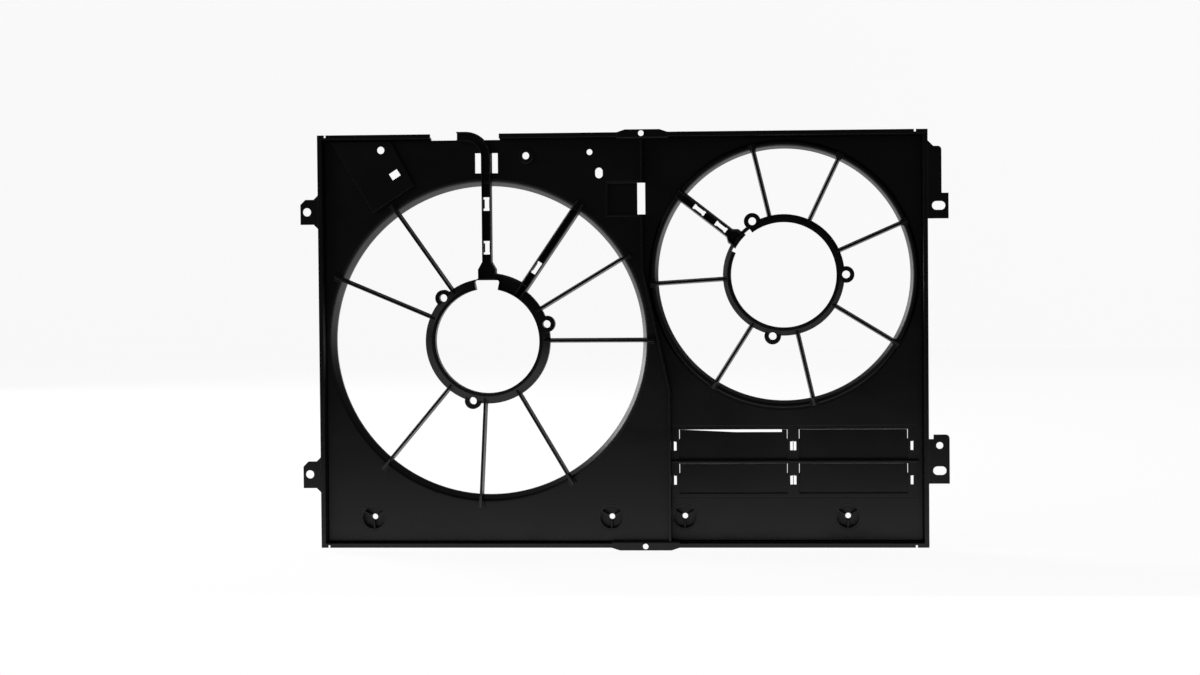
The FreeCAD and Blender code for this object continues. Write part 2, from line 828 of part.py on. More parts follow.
def spoke(label, place, turn, fan, outer, reach):
    """Plain spoke: a drafted rib whose flared foot stands on the rim of the duct mouth."""
    body = new_body(label, *place, turn)
    front = -size("spoke_front")
    back = size("spoke_back")
    end = -size("spoke_end_front")
    start = size("ring_bore") + size("ring_crest")
    throat = size(fan + "_throat")
    foot = size("foot_length")
    narrow = half(size("spoke_root"))
    wide = half(size("foot_width"))
    drafted_bar(body, start, reach, front, back, size("spoke_ridge"), size("spoke_root"))
    plate(body, half(end), -half(end), lambda sketch: draw_polygon(sketch, [
        (reach - foot, -narrow), (reach - half(foot), -wide), (reach, -wide),
        (reach, wide), (reach - half(foot), wide), (reach - foot, narrow)]))
    trim(body, ring_end(outer, back), mouth_end(fan, reach, back),
         [(throat, front), (reach, end), (reach, front)])
    return body


def clip_window(body, centre, front, depth):
    """Opening through the channel floor: a narrow slot with a wider ear at each end."""
    reach = half(size("clip_window"))
    ear = reach - size("clip_ear")
    side = half(size("clip_width"))
    wide = half(size("clip_ear_width"))
    cut_plate(body, front, depth, lambda sketch: draw_polygon(sketch, [
        (centre - reach, -wide), (centre - ear, -wide), (centre - ear, -side),
        (centre + ear, -side), (centre + ear, -wide), (centre + reach, -wide),
        (centre + reach, wide), (centre + ear, wide), (centre + ear, side),
        (centre - ear, side), (centre - ear, wide), (centre - reach, wide)]))


def channel(label, place, turn, fan, outer, reach, clips, fishtail):
    """Cable channel in place of a spoke: a drafted trough with see-through clip windows."""
    body = new_body(label, *place, turn)
    front = -size("channel_front")
    back = size("channel_back")
    depth = back - front
    wall = size("channel_wall")
    floor = size("channel_floor")
    start = size("ring_bore") + size("ring_crest")
    inside = half(size("channel_face")) - wall
    drafted_bar(body, start, reach, front, back, size("channel_face"), size("channel_base"))
    if fishtail:
        narrow = half(size("channel_face"))
        tail = half(size("fishtail_width"))
        shoulder = outer + size("fishtail_shoulder")
        waist = outer + size("fishtail_waist")
        end = outer + size("fishtail_length")
        plate(body, front, depth, lambda sketch: draw_polygon(sketch, [
            (start, -narrow), (outer, -narrow), (shoulder, -tail), (waist, -tail),
            (end, -narrow), (end, narrow), (waist, tail), (shoulder, tail),
            (outer, narrow), (start, narrow)]))
    trim(body, ring_end(outer, back), mouth_end(fan, reach, back))
    deep = mouth(fan)[2][0] - size("throat_gap") - floor
    cut_plate(body, front, depth - floor,
              lambda sketch: draw_box(sketch, outer + wall, deep, -inside, inside))
    cut_plate(body, front, -front - floor,
              lambda sketch: draw_box(sketch, deep, reach, -inside, inside))
    for clip in clips:
        clip_window(body, outer + clip, front, depth)
    return body


def elbow():
    """Channel that carries the cables over the panel and out through the rim's notch."""
    wide = half(size("elbow_width"))
    wall = size("channel_wall")
    front = -size("channel_front")
    radius = size("elbow_radius")
    level = TOP_EDGE - wide + size("elbow_rise")
    path = doc.addObject("Sketcher::SketchObject", "elbow_path")
    path.Placement = FreeCAD.Placement(
        FreeCAD.Vector(0, 0, 0), FreeCAD.Rotation(FreeCAD.Vector(1, 0, 0), 90))
    start = (as_size(0), LARGE_REACH)
    bend = (as_size(0), level - radius)
    after = (-radius, level)
    finish = (size("elbow_end"), level)
    path.addGeometry(Part.LineSegment(vector(start), vector(bend)), False)
    centre = vector((-radius, level - radius))
    circle = Part.Circle(centre, FreeCAD.Vector(0, 0, 1), radius.value)
    path.addGeometry(Part.ArcOfCircle(circle, 0, math.pi / 2), False)
    path.addGeometry(Part.LineSegment(vector(after), vector(finish)), False)
    path.addConstraint([Sketcher.Constraint("Tangent", 0, 2, 1, 1),
                        Sketcher.Constraint("Tangent", 1, 2, 2, 1)])
    fix_point(path, 0, 1, start)
    fix_point(path, 1, 3, (-radius, level - radius))
    datum(path, "Radius", radius, 1)
    datum(path, "DistanceX", finish[0], -1, 1, 2, 2)
    section = doc.addObject("Sketcher::SketchObject", "elbow_section")
    section.Placement = FreeCAD.Placement(
        FreeCAD.Vector(0, 0, LARGE_REACH.value), FreeCAD.Rotation())
    bind(section, "Placement.Base.z", LARGE_REACH)
    floor = size("channel_floor")
    draw_polygon(section, [
        (-wide, as_size(0)), (-wide, front), (wall - wide, front), (wall - wide, -floor),
        (wide - wall, -floor), (wide - wall, front), (wide, front), (wide, as_size(0))])
    sweep = doc.addObject("Part::Sweep", "cable_elbow")
    sweep.Label = "cable_elbow"
    sweep.Sections = [section]
    sweep.Spine = (path, ["Edge1", "Edge2", "Edge3"])
    sweep.Solid = True
    sweep.Frenet = False
    return sweep


# ---------------------------------------------------------------- perimeter rim


def rim_section(sketch, inner, way, back, swap):
    """Drafted wall with an outward flange; way points outwards, swap turns the axes."""
    wall = size("rim_wall")
    shelf = FRONT + size("flange_thickness")
    points = []
    for out, level in ((as_size(0), back), (DRAFT, FRONT), (BAND, FRONT), (BAND, shelf),
                       (DRAFT + wall, shelf), (wall, back)):
        place = inner + out * way
        points.append((level, place) if swap else (place, level))
    draw_polygon(sketch, points)


def mitre(body, corner, ways, back, upright):
    """Cuts a rim's end on the corner's diagonal; ways point outwards along X and Z."""
    x, z = corner
    way_x, way_z = ways
    far = BAND * 2
    diagonal = (x + far * way_x, z + far * way_z)
    beside = (x, z + far * way_z) if upright else (x + far * way_x, z)
    cut_plate(body, FRONT, back - FRONT,
              lambda sketch: draw_polygon(sketch, [(x, z), diagonal, beside]))


def side_rim(label, inner, way, back):
    """Left or right rim, running the full height to mitred corners."""
    body = new_body(label)
    sketch = new_sketch(body, "XY_Plane", BOTTOM_EDGE)
    rim_section(sketch, inner, way, back, False)
    pad(body, sketch, TOP_EDGE - BOTTOM_EDGE, reversed_way=False)
    mitre(body, (inner, INNER_TOP), (way, 1), back, True)
    mitre(body, (inner, INNER_BOTTOM), (way, -1), back, True)
    return body


def level_rim(label, inner, way, back, start, finish, slit=None):
    """Stretch of the top or bottom rim; one that reaches a corner is mitred there."""
    body = new_body(label)
    sketch = new_sketch(body, "YZ_Plane", start)
    rim_section(sketch, inner, way, back, True)
    pad(body, sketch, finish - start, reversed_way=False)
    if start is LEFT_EDGE:
        mitre(body, (INNER_LEFT, inner), (-1, way), back, False)
    if finish is RIGHT_EDGE:
        mitre(body, (INNER_RIGHT, inner), (1, way), back, False)
    if slit is not None:
        low = inner + (DRAFT + size("rim_wall")) * way
        high = inner + BAND * way
        cut_plate(body, FRONT, size("flange_thickness"), lambda sketch: draw_box(
            sketch, slit, slit + size("slit_width"), low, high))
    return body


def centre_tab(label, inner, way, left, right, hole_x):
    """Widened stretch of the rim at the divider, with a locating hole in its flange."""
    body = new_body(label)
    near = inner + half(DRAFT) * way
    edge = inner + BAND * way
    far = edge + size("centre_tab_rise") * way
    slope = size("centre_tab_slope")
    plate(body, FRONT, size("flange_thickness"), lambda sketch: draw_polygon(sketch, [
        (left, near), (right, near), (right, edge), (right - slope, far),
        (left + slope, far), (left, edge)]))
    shelf = FRONT + size("flange_thickness")
    plate(body, shelf, STEP + WALL - shelf, lambda sketch: draw_box(
        sketch, left, right, inner, inner + size("rim_wall") * way))
    cut_plate(body, FRONT, size("flange_thickness"), lambda sketch: draw_circle(
        sketch, hole_x, edge - size("centre_hole_inset") * way, size("centre_hole")))
    return body


# ---------------------------------------------------------------- screw bosses


def screw_boss(label, x, base):
    """Round cup, open towards the radiator, with a bored floor and three radial ribs."""
    body = new_body(label, x, CUP_LEVEL)
    sketch = new_sketch(body, "XY_Plane")
    inner = size("cup_radius")
    hole = size("cup_hole")
    floor = base + size("cup_depth")
    back = floor + WALL
    draw_polygon(sketch, [
        (hole, floor), (inner, floor), (inner, base), (CUP_OUTER, base), (CUP_OUTER, back),
        (hole, back)])
    revolve(body, sketch)
    drop = size("cup_rib_drop")
    side = half(size("cup_rib"))
    rib = new_sketch(body, "XZ_Plane", base + drop)
    draw_box(rib, size("cup_hub"), inner + half(size("cup_wall")), -side, side)
    fin = pad(body, rib, size("cup_depth") - drop)
    fin.Label = label + "_rib"
    pattern = body.newObject("PartDesign::PolarPattern", label + "_ribs")
    pattern.Originals = [fin]
    pattern.Axis = (rib, ["N_Axis"])
    pattern.Angle = 360
    pattern.Occurrences = 3
    body.Tip = pattern
    body.Placement.Rotation = FreeCAD.Rotation(FreeCAD.Vector(0, -1, 0), 30)
    return body


# ---------------------------------------------------------------- flap frame and flaps


def flap_frame():
    """Grille of four windows with a hook slot beside each pivot."""
    body = new_body("flap_frame")
    reach = size("hook_slot_width")
    gap = size("flap_side_gap")
    inset = size("window_inset")

    def outline(sketch):
        draw_box(sketch, FRAME_LEFT, FRAME_RIGHT, FRAME_BOTTOM, FRAME_TOP)
        for top in (ROW_HIGH, ROW_LOW):
            slot_high = top - size("pivot_drop") - half(PIN)
            slot_low = slot_high - size("hook_slot_height")
            for start in FLAP_STARTS:
                finish = start + FLAP_LENGTH
                draw_box(sketch, start + inset, finish - inset,
                         top - size("window_height"), top)
                draw_box(sketch, start - gap - reach, start - gap, slot_low, slot_high)
                draw_box(sketch, finish + gap, finish + gap + reach, slot_low, slot_high)

    plate(body, STEP, WALL, outline)
    bar = ROW_HIGH - size("window_height") - half(size("row_gap"))
    rib = half(size("frame_rib"))
    plate(body, as_size(0), STEP, lambda sketch: draw_box(
        sketch, FRAME_LEFT, FRAME_RIGHT, bar - rib, bar + rib))
    return body


def hook(body, x, pivot):
    """Snap hook: a bored block, open below by less than the pin's width."""
    outer = size("hook_outer")
    sketch = new_sketch(body, "YZ_Plane", x)
    base = STEP + WALL
    low = pivot - PIN * 0.75
    draw_polygon(sketch, [
        (base, low), (PIN_LEVEL + outer, low), (PIN_LEVEL + outer, pivot + half(outer)),
        (PIN_LEVEL + half(outer), pivot + outer), (base, pivot + outer)])
    pad(body, sketch, size("hook_width"), reversed_way=False)
    bore = new_sketch(body, "YZ_Plane", x)
    draw_circle(bore, PIN_LEVEL, pivot, PIN + size("pin_clearance"))
    return bore


def hinge_hooks():
    """Eight hooks on the frame's engine side, two for each flap."""
    body = new_body("hinge_hooks")
    body.AllowCompound = True
    bores = []
    gap = size("flap_side_gap")
    for top in (ROW_HIGH, ROW_LOW):
        pivot = top - size("pivot_drop")
        for start in FLAP_STARTS:
            bores.append(hook(body, start - gap - size("hook_width"), pivot))
            bores.append(hook(body, start + FLAP_LENGTH + gap, pivot))
    for bore in bores:
        pocket(body, bore, size("hook_width"), reversed_way=True)
    return body


def flap(label, start, top, bowed):
    """Ram-air flap: a wide lower plate, a narrower lip and a round hinge bar with two pins."""
    body = new_body(label)
    pivot = top - size("pivot_drop")
    finish = start + FLAP_LENGTH
    side = size("window_inset") + size("lip_side_gap")
    low = top - size("window_height") - size("flap_overlap")
    crest = top - size("lip_gap")
    shoulder = pivot - PIN

    def outline(sketch):
        draw_polygon(sketch, [
            (start, low), (finish, low), (finish, shoulder), (finish - side, shoulder),
            (finish - side, crest), (start + side, crest), (start + side, shoulder),
            (start, shoulder)])

    plate(body, FLAP_FRONT, size("flap_thickness"), outline)
    reach = size("flap_side_gap") + size("hook_width")
    rod = new_sketch(body, "YZ_Plane", start - reach)
    draw_circle(rod, PIN_LEVEL, pivot, PIN)
    pad(body, rod, FLAP_LENGTH + reach * 2, reversed_way=False)
    if bowed:
        near = start + side + size("bow_start")
        far = finish - side - size("bow_start")
        dip = crest - size("bow_depth")
        cut_plate(body, FLAP_FRONT, size("flap_thickness"), lambda sketch: draw_polygon(sketch, [
            (near, top), (far, top), (far, dip), (near + size("bow_middle"), dip),
            (near, crest)]))
    return body


# ---------------------------------------------------------------- mounting tabs


def left_tab(label, hole_z, below, above):
    """Tab on the left rim, level with the flange, with a round bolt hole."""
    body = new_body(label)
    tip = LEFT_EDGE - size("left_tab_reach")
    root = size("left_tab_root")
    corner = size("left_tab_corner")
    low = hole_z - below
    high = hole_z + above
    plate(body, FRONT, size("tab_thickness"), lambda sketch: draw_polygon(sketch, [
        (LEFT_EDGE, low - root), (LEFT_EDGE, high + root), (LEFT_EDGE - root, high),
        (tip + corner, high), (tip, high - corner), (tip, low), (LEFT_EDGE - root, low)]))
    cut_plate(body, FRONT, size("tab_thickness"), lambda sketch: draw_circle(
        sketch, tip + size("left_tab_inset"), hole_z, size("left_tab_hole")))
    return body


def upper_right_tab():
    """Tab on the right rim under a rounded ear, with a slotted bolt hole."""
    body = new_body("upper_right_tab")
    tip = RIGHT_EDGE + size("right_tab_reach")
    ear = RIGHT_EDGE + size("ear_reach")
    level = size("upper_right_slot_z")
    low = level - size("upper_right_below")
    step = level + size("upper_right_above")
    high = step + size("ear_height")
    corner = size("ear_corner")
    root = size("ear_root")
    rounding = {4: ((ear - corner, high - corner), corner, 1)}
    plate(body, FRONT, size("tab_thickness"), lambda sketch: draw_polygon(sketch, [
        (RIGHT_EDGE, low), (tip, low), (tip, step), (ear, step), (ear, high - corner),
        (ear - corner, high), (RIGHT_EDGE + root, high), (RIGHT_EDGE, high + root)], rounding))
    cut_plate(body, FRONT, size("tab_thickness"), lambda sketch: draw_slot(
        sketch, RIGHT_EDGE + size("right_tab_inset"), level,
        size("tab_slot_length"), size("tab_slot_width")))
    return body


def lower_right_tab():
    """Tab on the right rim with a round hole above and a slotted bolt hole below."""
    body = new_body("lower_right_tab")
    tip = RIGHT_EDGE + size("right_tab_reach")
    level = size("lower_right_slot_z")
    low = level - size("lower_right_below")
    hole = level + size("lower_right_hole_rise")
    high = hole + size("lower_right_above")
    corner = size("ear_corner")
    neck = size("lower_right_neck")
    rounding = {2: ((tip - corner, high - corner), corner, 1)}
    plate(body, FRONT, size("tab_thickness"), lambda sketch: draw_polygon(sketch, [
        (RIGHT_EDGE, low), (tip, low), (tip, high - corner), (tip - corner, high),
        (RIGHT_EDGE + neck, high), (RIGHT_EDGE + neck, high - neck),
        (RIGHT_EDGE, high - neck)], rounding))
    cut_plate(body, FRONT, size("tab_thickness"), lambda sketch: draw_slot(
        sketch, RIGHT_EDGE + size("right_tab_inset"), level,
        size("tab_slot_length"), size("tab_slot_width")))
    cut_plate(body, FRONT, size("tab_thickness"), lambda sketch: draw_circle(
        sketch, RIGHT_EDGE + size("right_tab_inset"), hole, size("right_tab_hole")))
    return body


# ---------------------------------------------------------------- assembly

# directions about each fan's axis, in degrees from +X towards +Z
LARGE_LUGS = (15.6, 135.6, 255.6)
SMALL_LUGS = (0, 120, 259.5)
LARGE_SPOKES = (0, 31, 125, 157, 230, 267, 300.5)
SMALL_SPOKES = (23.5, 64.5, 103.5, 183.5, 237.5, 283, 328.5)
UPPER_CHANNEL = 90
SIDE_CHANNEL = 55.6
SMALL_CHANNEL = 142


def fan_supports():
    """Motor rings with the spokes and cable channels that carry them."""
    large = ("large", size("large_ring_outer"), LARGE_REACH)
    small = ("small", size("small_ring_outer"), SMALL_REACH)
    nodes = [large_motor_ring(), small_motor_ring()]
    for number, turn in enumerate(LARGE_SPOKES, start=1):
        nodes.append(spoke("large_spoke_%d" % number, (0, 0), turn, *large))
    for number, turn in enumerate(SMALL_SPOKES, start=1):
        nodes.append(spoke("small_spoke_%d" % number, SMALL_PLACE, turn, *small))
    nodes.append(channel("upper_cable_channel", (0, 0), UPPER_CHANNEL, *large,
                         (size("upper_clip_near"), size("upper_clip_far")), True))
    nodes.append(channel("side_cable_channel", (0, 0), SIDE_CHANNEL, *large,
                         (size("side_clip"),), False))
    nodes.append(channel("small_fan_cable_channel", SMALL_PLACE, SMALL_CHANNEL, *small,
                         (size("small_clip_near"), size("small_clip_far")), True))
    nodes.append(elbow())
    return nodes


def perimeter():
    """Rim in nine stretches: two sides, five level runs and the two centre tabs."""
    back_small = STEP + WALL
    slit = size("slit_inset")
    slit_left = LEFT_EDGE + slit
    slit_right = RIGHT_EDGE - slit * 2
    high_left = DIVIDER_UPPER - size("centre_tab_before")
    high_right = DIVIDER_UPPER + size("centre_tab_after")
    low_left = DIVIDER_UPPER - size("foot_tab_before")
    low_right = DIVIDER_UPPER + size("foot_tab_after")
    return [
        side_rim("left_rim", INNER_LEFT, -1, WALL),
        side_rim("right_rim", INNER_RIGHT, 1, back_small),
        level_rim("top_rim_left", INNER_TOP, 1, WALL, LEFT_EDGE, size("notch_left"),
                  slit_left),
        level_rim("top_rim_middle", INNER_TOP, 1, WALL, size("notch_right"), high_left),
        level_rim("top_rim_right", INNER_TOP, 1, back_small, high_right, RIGHT_EDGE,
                  slit_right),
        level_rim("bottom_rim_left", INNER_BOTTOM, -1, WALL, LEFT_EDGE, low_left, slit_left),
        level_rim("bottom_rim_right", INNER_BOTTOM, -1, back_small, low_right, RIGHT_EDGE,
                  slit_right),
        centre_tab("top_centre_tab", INNER_TOP, 1, high_left, high_right, DIVIDER_UPPER),
        centre_tab("bottom_centre_tab", INNER_BOTTOM, -1, low_left, low_right,
                   half(low_left + low_right))]


def build():
    nodes = [large_panel(), small_panel(), plateau(), latch_pocket(),
             divider("divider_rib_upper", True), divider("divider_rib", False),
             duct("large_fan_duct", (0, 0), "large", False),
             duct("small_fan_duct", SMALL_PLACE, "small", True)]
    nodes.extend(fan_supports())
    nodes.extend(perimeter())
    for place, across, base in (("large_screw_boss_inner", size("large_cup_inner"), as_size(0)),
                                ("large_screw_boss_middle", size("large_cup_middle"), as_size(0)),
                                ("small_screw_boss_middle", SMALL_CUP_MIDDLE, STEP),
                                ("small_screw_boss_outer", size("small_cup_outer"), STEP)):
        nodes.append(screw_boss(place, across, base))
    nodes.append(flap_frame())
    nodes.append(hinge_hooks())
    for row, top in (("upper", ROW_HIGH), ("lower", ROW_LOW)):
        for column, start in zip(("inner", "outer"), FLAP_STARTS):
            name = "flap_%s_%s" % (row, column)
            nodes.append(flap(name, start, top, name == "flap_upper_inner"))
    nodes.append(left_tab("upper_left_tab", size("upper_left_hole_z"),
                          size("upper_left_below"), size("upper_left_above")))
    nodes.append(left_tab("lower_left_tab", size("lower_left_hole_z"),
                          size("lower_left_below"), size("lower_left_above")))
    nodes.append(upper_right_tab())
    nodes.append(lower_right_tab())
    return nodes


def check(nodes):
    """Stops before anything is written if an object or a shape has failed."""
    failed = [item.Name for item in doc.Objects
              if "Invalid" in item.State or "Error" in item.State]
    if failed:
        raise RuntimeError("failed objects: %s" % failed)
    for node in nodes:
        if node.Shape.isNull() or not node.Shape.isValid():
            raise RuntimeError("bad shape: " + node.Label)


def export(nodes):
    os.makedirs("parts", exist_ok=True)
    for node in nodes:
        node.Shape.exportStep("parts/%s.step" % node.Label)


shroud = build()
doc.recompute()
check(shroud)
export(shroud)
print("nodes:", len(shroud))
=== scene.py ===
import math
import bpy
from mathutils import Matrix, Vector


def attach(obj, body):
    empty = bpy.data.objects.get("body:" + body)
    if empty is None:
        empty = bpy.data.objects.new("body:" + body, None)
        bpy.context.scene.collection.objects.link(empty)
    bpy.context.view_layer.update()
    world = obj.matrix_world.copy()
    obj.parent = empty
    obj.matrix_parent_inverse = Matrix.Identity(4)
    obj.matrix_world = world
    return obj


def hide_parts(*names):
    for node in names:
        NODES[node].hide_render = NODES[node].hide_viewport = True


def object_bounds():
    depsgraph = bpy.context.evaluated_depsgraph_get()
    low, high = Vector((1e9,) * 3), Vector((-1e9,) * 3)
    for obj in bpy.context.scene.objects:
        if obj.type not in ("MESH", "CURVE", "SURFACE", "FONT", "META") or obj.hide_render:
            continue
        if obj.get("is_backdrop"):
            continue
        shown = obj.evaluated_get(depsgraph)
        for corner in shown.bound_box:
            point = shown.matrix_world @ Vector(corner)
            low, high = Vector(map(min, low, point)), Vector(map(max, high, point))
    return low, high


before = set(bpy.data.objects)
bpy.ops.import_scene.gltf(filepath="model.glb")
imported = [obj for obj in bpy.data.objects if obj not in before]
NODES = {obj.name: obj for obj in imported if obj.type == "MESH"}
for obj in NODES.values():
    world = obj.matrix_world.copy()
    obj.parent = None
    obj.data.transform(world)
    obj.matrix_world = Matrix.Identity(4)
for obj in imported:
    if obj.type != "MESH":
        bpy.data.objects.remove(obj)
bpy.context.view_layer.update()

from types import SimpleNamespace

import bmesh
import bpy
import numpy as np
from mathutils import Matrix, Vector

bl_info = {
    "name": "Radiator fan shroud",
    "version": (1, 0, 0),
    "blender": (4, 5, 0),
    "location": "View3D > Sidebar > Fan shroud",
    "description": "Dresses a twin-fan radiator shroud and sets up its studio",
    "category": "Object",
}

FLAPS = [name for name in NODES if name.startswith("flap_") and name != "flap_frame"]
SKIN = "grained_black_polypropylene"
MILLIMETRE = 0.001

# Points nearer to each other than this many metres become one.
TOUCHING = 1e-6

# Sizes are in millimetres and SHARP_ANGLE is in degrees. Levels run backwards along Y from
# the ducts' lips. Counts and shares have no unit, nor have SHEEN_SPREAD and FLAP_GLOSS, which
# are steps in roughness. FLOW_MARKS is how many cloudy marks a metre holds along each axis.
# SLIVER, in radians, is half the gap between the two sections where a stretch begins or ends.
# JUST_INSIDE keeps the sections at a lug within its hole.

# EDGE_RADIUS is the radius of the shaded rounding on edges and the width of the highlight
# painted along them.
EDGE_RADIUS = 0.9
SHEEN_SPREAD = 0.07
FLOW_MARKS = (9, 20, 14)
GRAIN_DEPTH = 0.03
FLAP_GRAIN_DEPTH = 0.02
FLAP_GRAIN_SHARE = 0.7
FLAP_GLOSS = 0.08
ROUNDING_STEPS = 4
SHARP_ANGLE = 20.0

DUCT_SECTIONS = 288
MOUTH_POINTS = 9
DUCT_WALL = 2.5
DUCT_END = 20.0
DUCT_ROUNDING = 0.8
PANEL_STEP = 6.0
COLLAR_CROWN = 1.8
COLLAR_FOOT = 4.6

RING_SECTIONS = 180
STRETCH_SECTIONS = 24
SLIVER = 1e-4
SLOPE_POINTS = 5
FRONT_POINTS = 9
RING_BORE = 62.2
RING_FRONT = -9.5
RING_BACK = 6.0
RING_MIDDLE = 1.0
RING_CREST = 4.0
RING_BEVEL = 6.0
RING_WEB = 2.2
RING_ROUNDING = 0.45

TROUGH_WIDTH = 6.4
TROUGH_WALL = 1.8
TROUGH_FRONT = -7.0

LARGE_NOTCH_HEIGHT = 72.4
LARGE_NOTCH_HALF = 12.4
LARGE_NOTCH_CORNER = 3.0
SMALL_NOTCH_RADIUS = 67.4

LUG_SECTIONS = 56
LUG_HOLE_SECTIONS = 17
LUG_CIRCLE = 73.5
LUG_OUTER = 9.8
LUG_HOLE = 4.6
JUST_INSIDE = 0.999
LUG_FRONT = -6.0
LUG_ROUNDING = 0.3

CHANNEL_FRONT = -8.5
CHANNEL_BACK = 3.0
CHANNEL_FLOOR = 1.8
CHANNEL_FOOT = 6.3
CHANNEL_GAP = 0.6
CHANNEL_ROUNDING = 0.35
CLIP_HALF = 8.0
CLIP_BETWEEN_EARS = 5.4
STEP_WIDTH = 0.01
END_WALL = 1.5
END_WALL_SECTIONS = 15

# The studio's sizes are in metres, its lamps' powers in watts and the camera's sensor in
# millimetres.

FLOOR_DROP = 0.0005
FLOOR_LEFT, FLOOR_RIGHT = -9, 4
FLOOR_FRONT, FLOOR_BACK = -0.45, 6
BACKDROP_RIGHT, BACKDROP_TOP = 2, 1.6
LAMPS = (("key_softbox", (-2.6, -1.5, 1.2), 1.6, 10),
         ("fill_softbox", (2.4, -2.4, 0.9), 1.6, 1),
         ("back_softbox", (-2.8, 2.4, 0.6), 1.8, 60))
WORLD_GLOW = 0.06
PAPER_GREY = "#A8A8A8"
SENSOR_WIDTH = 36.0
CAMERA_REACH = 50.0


# ---------------------------------------------------------------- materials


def linear(code):
    """An sRGB hex colour as linear red, green and blue, with full cover."""
    parts = [int(code[place:place + 2], 16) / 255 for place in (1, 3, 5)]
    return tuple(
        part / 12.92 if part <= 0.04045 else ((part + 0.055) / 1.055) ** 2.4 for part in parts
    ) + (1.0,)


def add_node(tree, kind, settings=None, inputs=None):
    """One shader node.

    settings are its attributes; inputs are its sockets' values or the sockets that feed them.
    """
    node = tree.nodes.new(kind)
    for key, value in (settings or {}).items():
        setattr(node, key, value)
    for key, value in (inputs or {}).items():
        socket = node.inputs[key]
        if isinstance(value, bpy.types.NodeSocket):
            tree.links.new(value, socket)
        else:
            socket.default_value = value
    return node


def either(tree, first, second):
    """The socket that is 1 where one of two ray kinds holds."""
    return add_node(tree, "ShaderNodeMath", {"operation": "MAXIMUM"}, {
        0: first, 1: second}).outputs["Value"]


def new_material(name):
    """An empty node material: (material, its node tree, its output node)."""
    material = bpy.data.materials.new(name)
    material.use_nodes = True
    tree = material.node_tree
    tree.nodes.clear()
    return material, tree, add_node(tree, "ShaderNodeOutputMaterial")


def moulded_plastic(name, colour, edge_highlight_colour, roughness, grain, grain_depth):
    """Injection-moulded black plastic.

    Its skin copies the tool: a spark-eroded grain, `grain` metres apart and `grain_depth`
    deep, breaks the gloss up. Long cloudy flow marks change the sheen from place to place,
    and rounded edges are painted a little paler in noisy patches, a painted highlight.
    """
    material, tree, output = new_material(name)
    place = add_node(tree, "ShaderNodeTexCoord").outputs["Object"]
    flow_place = add_node(tree, "ShaderNodeMapping", inputs={
        "Vector": place, "Scale": FLOW_MARKS})
    flow = add_node(tree, "ShaderNodeTexNoise", inputs={
        "Vector": flow_place.outputs["Vector"], "Scale": 1.0, "Detail": 5.0, "Roughness": 0.6,
        "Distortion": 0.8})
    pits = add_node(tree, "ShaderNodeTexNoise", inputs={
        "Vector": place, "Scale": 1 / grain, "Detail": 3.0, "Roughness": 0.7})
    highlight_patches = add_node(tree, "ShaderNodeTexNoise", inputs={
        "Vector": place, "Scale": 60.0, "Detail": 8.0, "Roughness": 0.75})
    soft_edge = add_node(tree, "ShaderNodeBevel", {"samples": 8}, {
        "Radius": EDGE_RADIUS * MILLIMETRE})
    flat = add_node(tree, "ShaderNodeNewGeometry")
    # Painted highlight: where the bevelled normal leaves the flat one, the colour is mixed
    # towards the paler edge colour, in noise patches.
    meeting = add_node(tree, "ShaderNodeVectorMath", {"operation": "DOT_PRODUCT"}, {
        0: soft_edge.outputs["Normal"], 1: flat.outputs["Normal"]})
    edge = add_node(tree, "ShaderNodeMapRange", inputs={
        "Value": meeting.outputs["Value"], "From Min": 0.995, "From Max": 0.75,
        "To Min": 0.0, "To Max": 0.5})
    uneven = add_node(tree, "ShaderNodeMapRange", inputs={
        "Value": highlight_patches.outputs["Fac"], "From Min": 0.3, "From Max": 0.7, "To Min": 0.7})
    patchy = add_node(tree, "ShaderNodeMath", {"operation": "MULTIPLY"}, {
        0: edge.outputs["Result"], 1: uneven.outputs["Result"]})
    tint = add_node(tree, "ShaderNodeMix", {"data_type": "RGBA"}, {
        "Factor": patchy.outputs["Value"], 6: linear(colour), 7: linear(edge_highlight_colour)})
    sheen = add_node(tree, "ShaderNodeMapRange", inputs={
        "Value": flow.outputs["Fac"], "From Min": 0.3, "From Max": 0.7,
        "To Min": roughness - SHEEN_SPREAD, "To Max": roughness + SHEEN_SPREAD})
    bump = add_node(tree, "ShaderNodeBump", inputs={
        "Height": pits.outputs["Fac"], "Distance": grain_depth, "Strength": 0.6,
        "Normal": soft_edge.outputs["Normal"]})
    shader = add_node(tree, "ShaderNodeBsdfPrincipled", inputs={
        "Base Color": tint.outputs[2], "Roughness": sheen.outputs["Result"], "IOR": 1.49,
        "Normal": bump.outputs["Normal"]})
    tree.links.new(shader.outputs["BSDF"], output.inputs["Surface"])
    return material


def give(material, names):
    """Puts one material in every slot of the named solids."""
    for name in names:
        for slot in NODES[name].material_slots:
            slot.material = material


# ---------------------------------------------------------------- surfaces


def rounded(outline, radius):
    """A closed outline with soft corners, as every moulded edge has.

    Round each corner p run the points (1-t)^2 a + 2t(1-t) p + t^2 b, with t from 0 to 1,
    where a and b lie `radius` back along the two sides, or just short of their middles if
    those are nearer. outline is (..., corners, 2); the corners' axis grows ROUNDING_STEPS
    times.
    """
    before = np.roll(outline, 1, axis=-2) - outline
    after = np.roll(outline, -1, axis=-2) - outline
    ends = []
    for side in (before, after):
        length = np.linalg.norm(side, axis=-1, keepdims=True)
        share = np.minimum(radius, length / 2.001) / np.maximum(length, 1e-9)
        ends.append(outline + side * share)
    t = np.linspace(0, 1, ROUNDING_STEPS)[:, None]
    start, corner, end = (part[..., None, :] for part in (ends[0], outline, ends[1]))
    curve = (1 - t) ** 2 * start + 2 * t * (1 - t) * corner + t ** 2 * end
    return curve.reshape(outline.shape[:-2] + (-1, 2))


